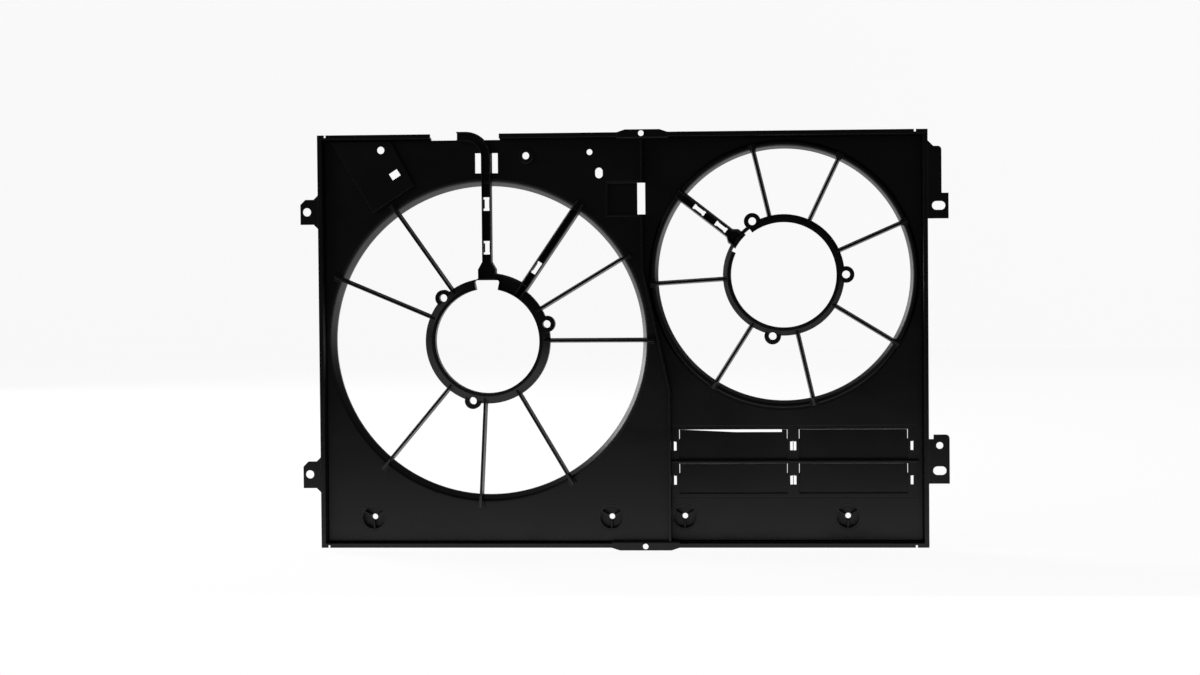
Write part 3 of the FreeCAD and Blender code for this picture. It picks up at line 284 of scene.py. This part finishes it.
def skin(grid, closed):
    """Closed skin over a grid of sections: grid is (sections, points, 3), in metres.

    Every section's points close on themselves. With closed the last section meets the
    first, as on a ring; without it both end sections are capped.
    """
    sections, points = grid.shape[:2]
    here = np.arange(sections * points).reshape(sections, points)
    beside = np.roll(here, -1, axis=1)
    following = np.roll(here, -1, axis=0)
    following_beside = np.roll(beside, -1, axis=0)
    quads = np.stack([here, beside, following_beside, following], axis=-1)
    if not closed:
        quads = quads[:-1]
    faces = quads.reshape(-1, 4).tolist()
    if not closed:
        faces.append(here[0][::-1].tolist())
        faces.append(here[-1].tolist())
    data = bpy.data.meshes.new("skin")
    data.from_pydata(grid.reshape(-1, 3).tolist(), [], faces)
    return data


def link(name, data):
    """A new object of the scene with the given data."""
    made = bpy.data.objects.new(name, data)
    bpy.context.scene.collection.objects.link(made)
    return made


def finished(name, parts):
    """Joins mesh data into one object, closes its seams and turns its faces outwards."""
    mesh = bmesh.new()
    for data in parts:
        mesh.from_mesh(data)
        bpy.data.meshes.remove(data)
    bmesh.ops.remove_doubles(mesh, verts=mesh.verts, dist=TOUCHING)
    bmesh.ops.dissolve_degenerate(mesh, dist=TOUCHING, edges=mesh.edges)
    bmesh.ops.recalc_face_normals(mesh, faces=mesh.faces)
    data = bpy.data.meshes.new(name)
    mesh.to_mesh(data)
    mesh.free()
    data.shade_smooth()
    data.set_sharp_from_angle(angle=math.radians(SHARP_ANGLE))
    return link(name, data)


def dress(node, parts):
    """Makes one smooth piece of the parts; it stands for that solid of the fixed moulding."""
    piece = finished(node + "_skin", parts)
    piece.data.materials.append(bpy.data.materials[SKIN])
    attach(piece, "shroud")
    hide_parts(node)


def turned_grid(centre, section, angles):
    """A section of (radius, level) points carried round an axis, one row for each angle.

    The point at radius r, level y and angle a is (x + r cos a, y, z + r sin a), with the
    axis at (x, z).
    """
    angles = angles[:, None]
    section = np.broadcast_to(section, (len(angles),) + section.shape[-2:])
    radii, levels = section[..., 0], section[..., 1]
    x = centre[0] + radii * np.cos(angles)
    z = centre[1] + radii * np.sin(angles)
    return np.stack([x, levels, z], axis=-1) * MILLIMETRE


def whole_turn(sections):
    """Even angles round a full circle, in radians."""
    return np.linspace(0, 2 * np.pi, sections, endpoint=False)


# ---------------------------------------------------------------- settings


def length_setting(name, description, default):
    """A length property; its default is given in millimetres."""
    return bpy.props.FloatProperty(name=name, description=description,
                                   default=default * MILLIMETRE, unit="LENGTH", precision=5)


def fan_sizes(place_x, place_z, throat, flare, cone, roll, ring):
    """The properties of one fan's duct and motor ring, with that fan's own defaults."""
    return {
        "place_x": length_setting("Axis across", "Place of the fan's axis along X", place_x),
        "place_z": length_setting("Axis up", "Place of the fan's axis along Z", place_z),
        "throat": length_setting("Throat", "Radius of the duct's straight land", throat),
        "flare": length_setting(
            "Flare", "How much wider the cone is than the throat", flare),
        "cone": bpy.props.FloatProperty(
            name="Cone", description="Slope of the mouth's cone", default=math.radians(cone),
            subtype="ANGLE"),
        "roll": length_setting("Roll", "Radius of the rolled lip", roll),
        "ring": length_setting("Motor ring", "Outer radius of the motor ring", ring)}


class LargeFanSettings(bpy.types.PropertyGroup):
    __annotations__ = fan_sizes(0.0, 0.0, 184.4, 4.4, 69.0, 3.8, 74.6)


class SmallFanSettings(bpy.types.PropertyGroup):
    __annotations__ = fan_sizes(352.2, 76.1, 149.4, 2.8, 77.0, 3.1, 71.8)


def in_millimetres(settings):
    """A fan's sizes as plain numbers: millimetres, and radians for the cone.

    axis is the place of the fan's axis across and up.
    """
    fan = SimpleNamespace(**{
        key: getattr(settings, key) / (1.0 if key == "cone" else MILLIMETRE)
        for key in settings.__annotations__})
    fan.axis = (fan.place_x, fan.place_z)
    return fan


class ShroudSettings(bpy.types.PropertyGroup):
    plastic: bpy.props.StringProperty(
        name="Shroud plastic", description="Colour of the moulding, sRGB hex",
        default="#050506")
    # Colour of the painted highlight that moulded_plastic lays on rounded edges.
    edge_highlight_colour: bpy.props.StringProperty(
        name="Painted edge highlight", description="Colour of the painted highlight on edges, sRGB hex",
        default="#232325")
    roughness: bpy.props.FloatProperty(
        name="Roughness", description="Mean roughness of the moulded skin", default=0.42,
        min=0.05, max=1.0)
    grain: bpy.props.FloatProperty(
        name="Grain", description="Distance between the pits of the spark-eroded grain",
        default=0.9 * MILLIMETRE, min=0.0001, unit="LENGTH", precision=5)


class StudioSettings(bpy.types.PropertyGroup):
    distance: bpy.props.FloatProperty(
        name="Camera distance", description="From the aiming point to the camera",
        default=3.565, min=0.5, unit="LENGTH")
    azimuth: bpy.props.FloatProperty(
        name="Camera azimuth", description="Turn of the camera about the vertical",
        default=math.radians(4.6), subtype="ANGLE")
    elevation: bpy.props.FloatProperty(
        name="Camera elevation", description="Height of the camera as an angle",
        default=math.radians(2.0), subtype="ANGLE")
    roll: bpy.props.FloatProperty(
        name="Camera roll", description="Tilt of the camera about its own axis",
        default=math.radians(-0.49), subtype="ANGLE")
    aim_x: bpy.props.FloatProperty(
        name="Aim across", description="Where the camera looks, along X", default=0.1338,
        unit="LENGTH")
    aim_z: bpy.props.FloatProperty(
        name="Aim up", description="Where the camera looks, along Z", default=0.0033,
        unit="LENGTH")
    lens: bpy.props.FloatProperty(
        name="Lens", description="Focal length", default=90.0, min=10.0, unit="CAMERA")
    floor: bpy.props.StringProperty(
        name="Floor", description="Colour of the floor, sRGB hex", default="#F6F6F6")


# ---------------------------------------------------------------- ducts


def mouth_profile(fan):
    """Front of a duct from its lip inwards: a rolled arc, a cone and the throat's start.

    After a turn t the arc lies roll * sin t inside the lip and roll - roll * cos t behind it.
    From where t is the cone's angle, the cone runs straight to the throat.
    """
    roll, cone = fan.roll, fan.cone
    lip = fan.throat + fan.flare + roll * math.sin(cone)
    turn = np.linspace(0, cone, MOUTH_POINTS)
    arc = np.stack([lip - roll * np.sin(turn), roll - roll * np.cos(turn)], axis=-1)
    level = arc[-1, 1] + fan.flare * math.tan(cone)
    return arc, (fan.throat, level)


def duct_skin(fan, collar):
    """Bell-mouthed duct: its closed section is carried round the fan's axis.

    The front runs as mouth_profile says and the back lies one wall behind it. A collar leads
    on to a panel that lies PANEL_STEP further back.
    """
    arc, throat = mouth_profile(fan)
    lip = arc[0, 0]
    back = [throat, (fan.throat, DUCT_END), (fan.throat + DUCT_WALL, DUCT_END),
            (fan.throat + DUCT_WALL, throat[1])]
    if collar:
        crown, foot = lip + COLLAR_CROWN, lip + COLLAR_FOOT
        back += [(crown - DUCT_WALL / 2, DUCT_WALL), (foot - DUCT_WALL, PANEL_STEP + DUCT_WALL),
                 (foot, PANEL_STEP + DUCT_WALL), (foot, PANEL_STEP), (crown, 0)]
    else:
        back += [(lip, DUCT_WALL)]
    tail = np.concatenate([arc[-1:], np.array(back), arc[:1]])
    soft = rounded(tail, DUCT_ROUNDING)[ROUNDING_STEPS:-ROUNDING_STEPS]
    section = np.concatenate([arc, soft])
    return skin(turned_grid(fan.axis, section, whole_turn(DUCT_SECTIONS)), True)


# ---------------------------------------------------------------- motor rings


def bevel_level(radii, outer):
    """Level of the ring's sloping face.

    It rises evenly from RING_FRONT at the crest to RING_BEVEL behind that at the outer wall.
    """
    crest = RING_BORE + RING_CREST
    share = (radii - crest) / (outer - crest)
    return RING_FRONT + RING_BEVEL * np.clip(share, 0, 1)


def large_notch(angles):
    """How far from the axis the large ring's notch reaches.

    Its edge is straight with rounded ends. At angle a it lies (h - c + sqrt(c^2 - s^2)) / sin a
    from the axis, where h is its height over the axis, c the radius of its ends and s how far
    h / tan a lies past its straight half, up to c.
    """
    across = np.abs(LARGE_NOTCH_HEIGHT / np.tan(angles))
    past = np.clip(across - LARGE_NOTCH_HALF, 0, LARGE_NOTCH_CORNER)
    rise = np.sqrt(LARGE_NOTCH_CORNER ** 2 - past ** 2)
    return (LARGE_NOTCH_HEIGHT - LARGE_NOTCH_CORNER + rise) / np.sin(angles)


def small_notch(angles):
    """How far from the axis the small ring's notch reaches: the same at every angle."""
    return np.full_like(angles, SMALL_NOTCH_RADIUS)


RINGS = (
    SimpleNamespace(node="large_motor_ring", fan="large_fan", lugs=(15.6, 135.6, 255.6),
                    notch=(78.0, 102.0), limit=large_notch, trough=(52.2, 82.6)),
    SimpleNamespace(node="small_motor_ring", fan="small_fan", lugs=(0.0, 120.0, 259.5),
                    notch=(126.0, 155.0), limit=small_notch, trough=None))


def plain_section(outer):
    """Ring's usual section: bore, crest, slope, outer wall and the hollow behind them.

    Some of its points lie on straight runs, so that trough_section has a partner for each.
    """
    crest, bore_web = RING_BORE + RING_CREST, RING_BORE + RING_WEB
    slope = np.linspace(crest, outer, SLOPE_POINTS)
    return np.array(
        [(RING_BORE, RING_BACK), (RING_BORE, RING_FRONT), (RING_BORE + TROUGH_WALL, RING_FRONT)]
        + [(r, bevel_level(r, outer)) for r in slope]
        + [(outer, RING_MIDDLE), (outer, RING_BACK), (outer - RING_WEB, RING_BACK),
           (outer - RING_WEB, RING_FRONT + RING_BEVEL + RING_WEB / 2),
           (crest, RING_FRONT + RING_WEB), (bore_web, RING_FRONT + RING_WEB),
           (bore_web, RING_BACK)])


def trough_section(outer):
    """Ring's section where the cable trough replaces the slope and reaches past the wall."""
    crest, bore_web = RING_BORE + RING_CREST, RING_BORE + RING_WEB
    deep = CHANNEL_BACK - CHANNEL_FLOOR
    edge = outer + TROUGH_WIDTH
    return np.array([
        (RING_BORE, RING_BACK), (RING_BORE, RING_FRONT), (RING_BORE + TROUGH_WALL, RING_FRONT),
        (RING_BORE + TROUGH_WALL, deep), (edge - TROUGH_WALL, deep),
        (edge - TROUGH_WALL, TROUGH_FRONT), (edge, TROUGH_FRONT), (edge, CHANNEL_BACK),
        (outer, CHANNEL_BACK), (outer, RING_BACK), (outer - RING_WEB, RING_BACK),
        (outer - RING_WEB, CHANNEL_BACK), (crest, CHANNEL_BACK),
        (bore_web, CHANNEL_BACK), (bore_web, RING_BACK)])


def ring_angles(ring, half_hole):
    """Angles of the ring's sections, closer together at the lugs and the changed stretches."""
    angles = [whole_turn(RING_SECTIONS)]
    for lug in np.radians(ring.lugs):
        angles.append(lug + np.linspace(-half_hole, half_hole, LUG_HOLE_SECTIONS))
    for stretch in [ring.notch] + ([ring.trough] if ring.trough else []):
        first, last = (math.radians(angle) for angle in stretch)
        angles.append(np.array([first - SLIVER, first + SLIVER, last - SLIVER, last + SLIVER]))
        angles.append(np.linspace(first, last, STRETCH_SECTIONS)[1:-1])
    return np.unique(np.concatenate(angles) % (2 * np.pi))


def ring_skin(fan, ring):
    """Motor ring: a section carried round the axis, with what each stretch changes.

    In the notch only what lies past its limit is left. In the trough the section is that of
    trough_section. At a lug the slope stops on the bolt hole's circle, at
    c cos d - sqrt(h^2 - (c sin d)^2), where c is the lugs' circle, h the hole's radius and d
    the angle from the lug.
    """
    outer = fan.ring
    plain = plain_section(outer)
    half_hole = math.asin(LUG_HOLE / LUG_CIRCLE) * JUST_INSIDE
    angles = ring_angles(ring, half_hole)
    degrees = np.degrees(angles)
    section = np.repeat(plain[None], len(angles), axis=0)
    point = np.arange(len(plain))
    if ring.trough:
        first, last = ring.trough
        section[(degrees > first) & (degrees < last)] = trough_section(outer)

    for lug in np.radians(ring.lugs):
        away = (angles - lug + np.pi) % (2 * np.pi) - np.pi
        near = np.abs(away) <= half_hole
        reach = LUG_CIRCLE * np.cos(away[near]) - np.sqrt(np.maximum(
            LUG_HOLE ** 2 - (LUG_CIRCLE * np.sin(away[near])) ** 2, 0))
        radii = np.minimum(section[near, :, 0], reach[:, None])
        moved = radii < section[near, :, 0]
        level = bevel_level(radii, outer) + np.where(point < FRONT_POINTS, 0.0, RING_WEB)
        section[near, :, 1] = np.where(moved, level, section[near, :, 1])
        section[near, :, 0] = radii

    first, last = ring.notch
    inside = (degrees > first) & (degrees < last)
    radii = np.maximum(section[inside, :, 0], ring.limit(angles[inside])[:, None])
    moved = radii > section[inside, :, 0]
    if ring.trough:
        moved &= (degrees[inside] >= ring.trough[1])[:, None]
    front = (point > 0) & (point < FRONT_POINTS)
    level = np.where(front, bevel_level(radii, outer), RING_BACK)
    section[inside, :, 1] = np.where(moved, level, section[inside, :, 1])
    section[inside, :, 0] = radii
    return skin(turned_grid(fan.axis, rounded(section, RING_ROUNDING), angles), True)


def lug_skin(fan, angle):
    """Screw lug: a tube of radius LUG_OUTER bored to LUG_HOLE, centred on the lugs' circle."""
    turn = math.radians(angle)
    centre = (fan.place_x + LUG_CIRCLE * math.cos(turn),
              fan.place_z + LUG_CIRCLE * math.sin(turn))
    section = rounded(np.array([
        (LUG_HOLE, RING_BACK), (LUG_HOLE, LUG_FRONT), (LUG_OUTER, LUG_FRONT),
        (LUG_OUTER, RING_BACK)]), LUG_ROUNDING)
    return skin(turned_grid(centre, section, whole_turn(LUG_SECTIONS)), True)


# ---------------------------------------------------------------- cable channels


# Each channel runs at an angle from its fan's axis out to its reach. The outline lists
# (distance from the axis, half width), and the clips are distances from the axis. A window's
# half width is given at its clip's ears and between them. The end is the half width and the
# radius of the wall that closes the channel at its ring.
CHANNELS = (
    SimpleNamespace(
        node="upper_cable_channel", fan="large_fan", angle=90.0, reach=198.95,
        outline=((73.6, 10.4), (85.2, 10.4), (94.2, 5.3), (198.95, 5.3)), wall=1.2,
        clips=(111.0, 163.0), window=(4.1, 2.7), end=(11.4, 73.6)),
    SimpleNamespace(
        node="side_cable_channel", fan="large_fan", angle=55.6, reach=198.95,
        outline=((64.4, 4.5), (198.95, 4.5)), wall=1.5,
        clips=(104.6,), window=(3.7, 2.4), end=None),
    SimpleNamespace(
        node="small_fan_cable_channel", fan="small_fan", angle=142.0, reach=158.52,
        outline=((65.6, 8.6), (75.5, 8.6), (81.0, 4.5), (158.52, 4.5)), wall=1.5,
        clips=(93.5, 126.0), window=(3.7, 2.2), end=(10.2, 65.0)))


def along_spoke(fan, angle, along, across, levels):
    """Points at distance `along` from a fan's axis and `across` to the left of that way.

    At angle a they are x = along cos a - across sin a and z = along sin a + across cos a
    from the axis.
    """
    turn = math.radians(angle)
    x = fan.place_x + along * math.cos(turn) - across * math.sin(turn)
    z = fan.place_z + along * math.sin(turn) + across * math.cos(turn)
    return np.stack([x, levels, z], axis=-1) * MILLIMETRE


def channel_skins(fan, channel):
    """Cable channel: two drafted walls and a floor with clip windows.

    The walls follow the outline on both sides. At distance r their foot is wider than their
    front by the draft, in proportion to their height. The walls' back and the floor step up
    over the duct's rolled mouth, CHANNEL_GAP before it. The floor is two half strips that
    leave the windows open between them.
    """
    arc, throat = mouth_profile(fan)
    slope = (arc[-1, 0] - throat[0]) / (throat[1] - arc[-1, 1])
    deep = arc[-1, 0] - (CHANNEL_BACK - arc[-1, 1]) * slope - CHANNEL_GAP
    mouth = arc[::-1, 0] - CHANNEL_GAP
    shape = np.array(channel.outline)
    rim = np.concatenate([[deep, deep + STEP_WIDTH], mouth, [channel.reach]])
    along = np.unique(np.concatenate([shape[:, 0], rim]))
    along = along[along >= shape[0, 0]]
    half = np.interp(along, shape[:, 0], shape[:, 1])
    under = np.minimum(CHANNEL_BACK, np.interp(
        along, np.concatenate([[0, deep], mouth, [channel.reach]]),
        np.concatenate([[CHANNEL_BACK, CHANNEL_BACK], arc[::-1, 1], [0.0]])))
    splay = CHANNEL_FOOT - shape[-1, 1]
    draft = splay * (under - CHANNEL_FRONT) / (CHANNEL_BACK - CHANNEL_FRONT)
    front = np.full_like(under, CHANNEL_FRONT)
    parts = []
    for side in (1, -1):
        across = side * np.stack(
            [half + draft, half, half - channel.wall, half - channel.wall], axis=-1)
        levels = np.stack([under, front, front, under], axis=-1)
        soft = rounded(np.stack([across, levels], axis=-1), CHANNEL_ROUNDING)
        parts.append(skin(along_spoke(
            fan, channel.angle, along[:, None], soft[..., 0], soft[..., 1]), False))

    marks = [shape[0, 0]]
    for clip in channel.clips:
        for edge in (CLIP_HALF, CLIP_BETWEEN_EARS):
            inner = edge - STEP_WIDTH
            marks += [clip - edge, clip - inner, clip + inner, clip + edge]
    stations = np.unique(np.concatenate([along, marks]))
    hole = np.zeros_like(stations)
    for clip in channel.clips:
        away = np.abs(stations - clip)
        for edge, width in zip((CLIP_HALF, CLIP_BETWEEN_EARS), channel.window):
            hole = np.where(away < edge - STEP_WIDTH / 2, width, hole)
    outside = np.maximum(np.interp(stations, along, half) - channel.wall / 2, hole)
    under = np.interp(stations, along, under)
    upper = np.where(stations <= deep, CHANNEL_BACK - CHANNEL_FLOOR, -CHANNEL_FLOOR)
    for side in (1, -1):
        across = side * np.stack([hole, hole, outside, outside], axis=-1)
        levels = np.stack([under, upper, upper, under], axis=-1)
        parts.append(skin(along_spoke(
            fan, channel.angle, stations[:, None], across, levels), False))
    return parts


def end_wall(fan, channel):
    """Wall that closes a channel at its ring: a strip bent to the end's radius.

    At `across` from the middle it lies sqrt(radius^2 - across^2) from the fan's axis.
    """
    half, radius = channel.end
    across = np.linspace(-half, half, END_WALL_SECTIONS)
    inner = np.sqrt(radius ** 2 - across ** 2)
    outer = inner + END_WALL
    along = np.stack([inner, inner, outer, outer], axis=-1)
    levels = np.broadcast_to([CHANNEL_BACK, CHANNEL_FRONT, CHANNEL_FRONT, CHANNEL_BACK],
                             along.shape)
    return skin(along_spoke(fan, channel.angle, along, across[:, None], levels), False)


# ---------------------------------------------------------------- studio


def flat_piece(name, corners):
    """One four-cornered sheet of the studio."""
    data = bpy.data.meshes.new(name)
    data.from_pydata(corners, [], [(0, 1, 2, 3)])
    return link(name, data)


def pale_surface(name, colour):
    """Matt studio paper.

    The camera, glossy and transmission rays see it white, and it still takes a shadow.
    """
    material, tree, output = new_material(name)
    light = add_node(tree, "ShaderNodeLightPath").outputs
    seen = either(tree, light["Is Camera Ray"], light["Is Glossy Ray"])
    glow = add_node(tree, "ShaderNodeEmission", inputs={
        "Color": linear(colour),
        "Strength": either(tree, seen, light["Is Transmission Ray"])})
    paper = add_node(tree, "ShaderNodeBsdfDiffuse", inputs={"Color": linear(PAPER_GREY)})
    both = add_node(tree, "ShaderNodeAddShader", inputs={
        0: glow.outputs["Emission"], 1: paper.outputs["BSDF"]})
    tree.links.new(both.outputs["Shader"], output.inputs["Surface"])
    return material


def add_lamp(name, place, aim, size, power):
    """A soft square area lamp at place that faces aim."""
    data = bpy.data.lights.new(name, "AREA")
    data.shape = "RECTANGLE"
    data.size = data.size_y = size
    data.energy = power
    lamp = link(name, data)
    lamp.location = place
    lamp.rotation_mode = "QUATERNION"
    lamp.rotation_quaternion = (Vector(aim) - Vector(place)).to_track_quat("-Z", "Y")


def add_world():
    """World that camera and transmission rays see white and that lights only dimly."""
    world = bpy.data.worlds.new("studio_world")
    world.use_nodes = True
    tree = world.node_tree
    tree.nodes.clear()
    light = add_node(tree, "ShaderNodeLightPath").outputs
    dim, white = (add_node(tree, "ShaderNodeBackground", inputs={
        "Color": linear("#FFFFFF"), "Strength": strength}) for strength in (WORLD_GLOW, 1.0))
    mixed = add_node(tree, "ShaderNodeMixShader", inputs={
        0: either(tree, light["Is Camera Ray"], light["Is Transmission Ray"]),
        1: dim.outputs["Background"], 2: white.outputs["Background"]})
    add_node(tree, "ShaderNodeOutputWorld", inputs={"Surface": mixed.outputs["Shader"]})
    bpy.context.scene.world = world


def add_camera(studio):
    """Camera on a sphere round the aiming point, turned to it and rolled about its axis."""
    data = bpy.data.cameras.new("studio_camera")
    data.lens = studio.lens
    data.sensor_width = SENSOR_WIDTH
    data.clip_end = CAMERA_REACH
    camera = link("studio_camera", data)
    back = Vector((math.sin(studio.azimuth) * math.cos(studio.elevation),
                   -math.cos(studio.azimuth) * math.cos(studio.elevation),
                   math.sin(studio.elevation)))
    camera.location = Vector((studio.aim_x, 0, studio.aim_z)) + back * studio.distance
    camera.rotation_mode = "QUATERNION"
    camera.rotation_quaternion = (-back).to_track_quat("-Z", "Y") @ Matrix.Rotation(
        studio.roll, 3, "Z").to_quaternion()
    bpy.context.scene.camera = camera


# ---------------------------------------------------------------- operators


class SHROUD_OT_moulding(bpy.types.Operator):
    """Gives the fixed moulding its grained black plastic."""

    bl_idname = "shroud.moulding"
    bl_label = "Moulding"

    def execute(self, context):
        settings = context.scene.shroud
        fixed = [name for name in NODES if name not in FLAPS]
        give(moulded_plastic(SKIN, settings.plastic, settings.edge_highlight_colour, settings.roughness,
                             settings.grain, GRAIN_DEPTH * MILLIMETRE), fixed)
        return {"FINISHED"}


class SHROUD_OT_flaps(bpy.types.Operator):
    """Gives the four ram-air flaps their finer-grained, glossier plastic."""

    bl_idname = "shroud.flaps"
    bl_label = "Flaps"

    def execute(self, context):
        settings = context.scene.shroud
        give(moulded_plastic("smooth_black_polypropylene", settings.plastic, settings.edge_highlight_colour,
                             settings.roughness - FLAP_GLOSS,
                             settings.grain * FLAP_GRAIN_SHARE,
                             FLAP_GRAIN_DEPTH * MILLIMETRE), FLAPS)
        return {"FINISHED"}


class SHROUD_OT_ducts(bpy.types.Operator):
    """Turns the two bell-mouthed fan ducts as smooth surfaces."""

    bl_idname = "shroud.ducts"
    bl_label = "Fan ducts"

    def execute(self, context):
        scene = context.scene
        for node, settings, collar in (("large_fan_duct", scene.large_fan, False),
                                       ("small_fan_duct", scene.small_fan, True)):
            dress(node, [duct_skin(in_millimetres(settings), collar)])
        return {"FINISHED"}


class SHROUD_OT_motor_rings(bpy.types.Operator):
    """Turns the two motor rings, with their lugs, cable notches and cable trough."""

    bl_idname = "shroud.motor_rings"
    bl_label = "Motor rings"

    def execute(self, context):
        for ring in RINGS:
            fan = in_millimetres(getattr(context.scene, ring.fan))
            lugs = [lug_skin(fan, angle) for angle in ring.lugs]
            dress(ring.node, [ring_skin(fan, ring)] + lugs)
        return {"FINISHED"}


class SHROUD_OT_cable_channels(bpy.types.Operator):
    """Moulds the three cable channels that stand in place of spokes."""

    bl_idname = "shroud.cable_channels"
    bl_label = "Cable channels"

    def execute(self, context):
        for channel in CHANNELS:
            fan = in_millimetres(getattr(context.scene, channel.fan))
            parts = channel_skins(fan, channel)
            if channel.end:
                parts.append(end_wall(fan, channel))
            dress(channel.node, parts)
        return {"FINISHED"}


class SHROUD_OT_studio(bpy.types.Operator):
    """Builds the floor, the backdrop, the soft lamps and the camera."""

    bl_idname = "shroud.studio"
    bl_label = "Studio"

    def execute(self, context):
        studio = context.scene.shroud_studio
        low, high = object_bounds()
        ground = low.z - FLOOR_DROP
        floor = flat_piece("studio_floor", [
            (FLOOR_LEFT, FLOOR_FRONT, ground), (FLOOR_RIGHT, FLOOR_FRONT, ground),
            (FLOOR_RIGHT, FLOOR_BACK, ground), (FLOOR_LEFT, FLOOR_BACK, ground)])
        backdrop = flat_piece("studio_backdrop", [
            (FLOOR_LEFT, FLOOR_BACK, ground), (BACKDROP_RIGHT, FLOOR_BACK, ground),
            (BACKDROP_RIGHT, FLOOR_BACK, BACKDROP_TOP),
            (FLOOR_LEFT, FLOOR_BACK, BACKDROP_TOP)])
        paper = pale_surface("matt_studio_paper", studio.floor)
        for piece in (floor, backdrop):
            piece.data.materials.append(paper)
            piece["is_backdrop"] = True

        centre = (low + high) / 2
        for name, place, size, power in LAMPS:
            add_lamp(name, place, centre, size, power)
        add_world()
        add_camera(studio)
        context.scene.view_settings.view_transform = "Standard"
        return {"FINISHED"}


OPERATORS = (SHROUD_OT_moulding, SHROUD_OT_flaps, SHROUD_OT_ducts, SHROUD_OT_motor_rings,
             SHROUD_OT_cable_channels, SHROUD_OT_studio)


class SHROUD_PT_panel(bpy.types.Panel):
    """Sidebar panel with every setting and every operator."""

    bl_idname = "SHROUD_PT_panel"
    bl_label = "Radiator fan shroud"
    bl_space_type = "VIEW_3D"
    bl_region_type = "UI"
    bl_category = "Fan shroud"

    def draw(self, context):
        layout = self.layout
        scene = context.scene
        for settings in (scene.shroud, scene.large_fan, scene.small_fan, scene.shroud_studio):
            for key in settings.__annotations__:
                layout.prop(settings, key)
        for operator in OPERATORS:
            layout.operator(operator.bl_idname)


CLASSES = (LargeFanSettings, SmallFanSettings, ShroudSettings, StudioSettings, *OPERATORS,
           SHROUD_PT_panel)
POINTERS = {"shroud": ShroudSettings, "shroud_studio": StudioSettings,
            "large_fan": LargeFanSettings, "small_fan": SmallFanSettings}


def register():
    for item in CLASSES:
        bpy.utils.register_class(item)
    for key, group in POINTERS.items():
        setattr(bpy.types.Scene, key, bpy.props.PointerProperty(type=group))


def unregister():
    for key in reversed(POINTERS):
        delattr(bpy.types.Scene, key)
    for item in reversed(CLASSES):
        bpy.utils.unregister_class(item)


def main():
    register()
    bpy.ops.shroud.moulding()
    bpy.ops.shroud.flaps()
    bpy.ops.shroud.ducts()
    bpy.ops.shroud.motor_rings()
    bpy.ops.shroud.cable_channels()
    bpy.ops.shroud.studio()


if __name__ == "__main__":
    main()
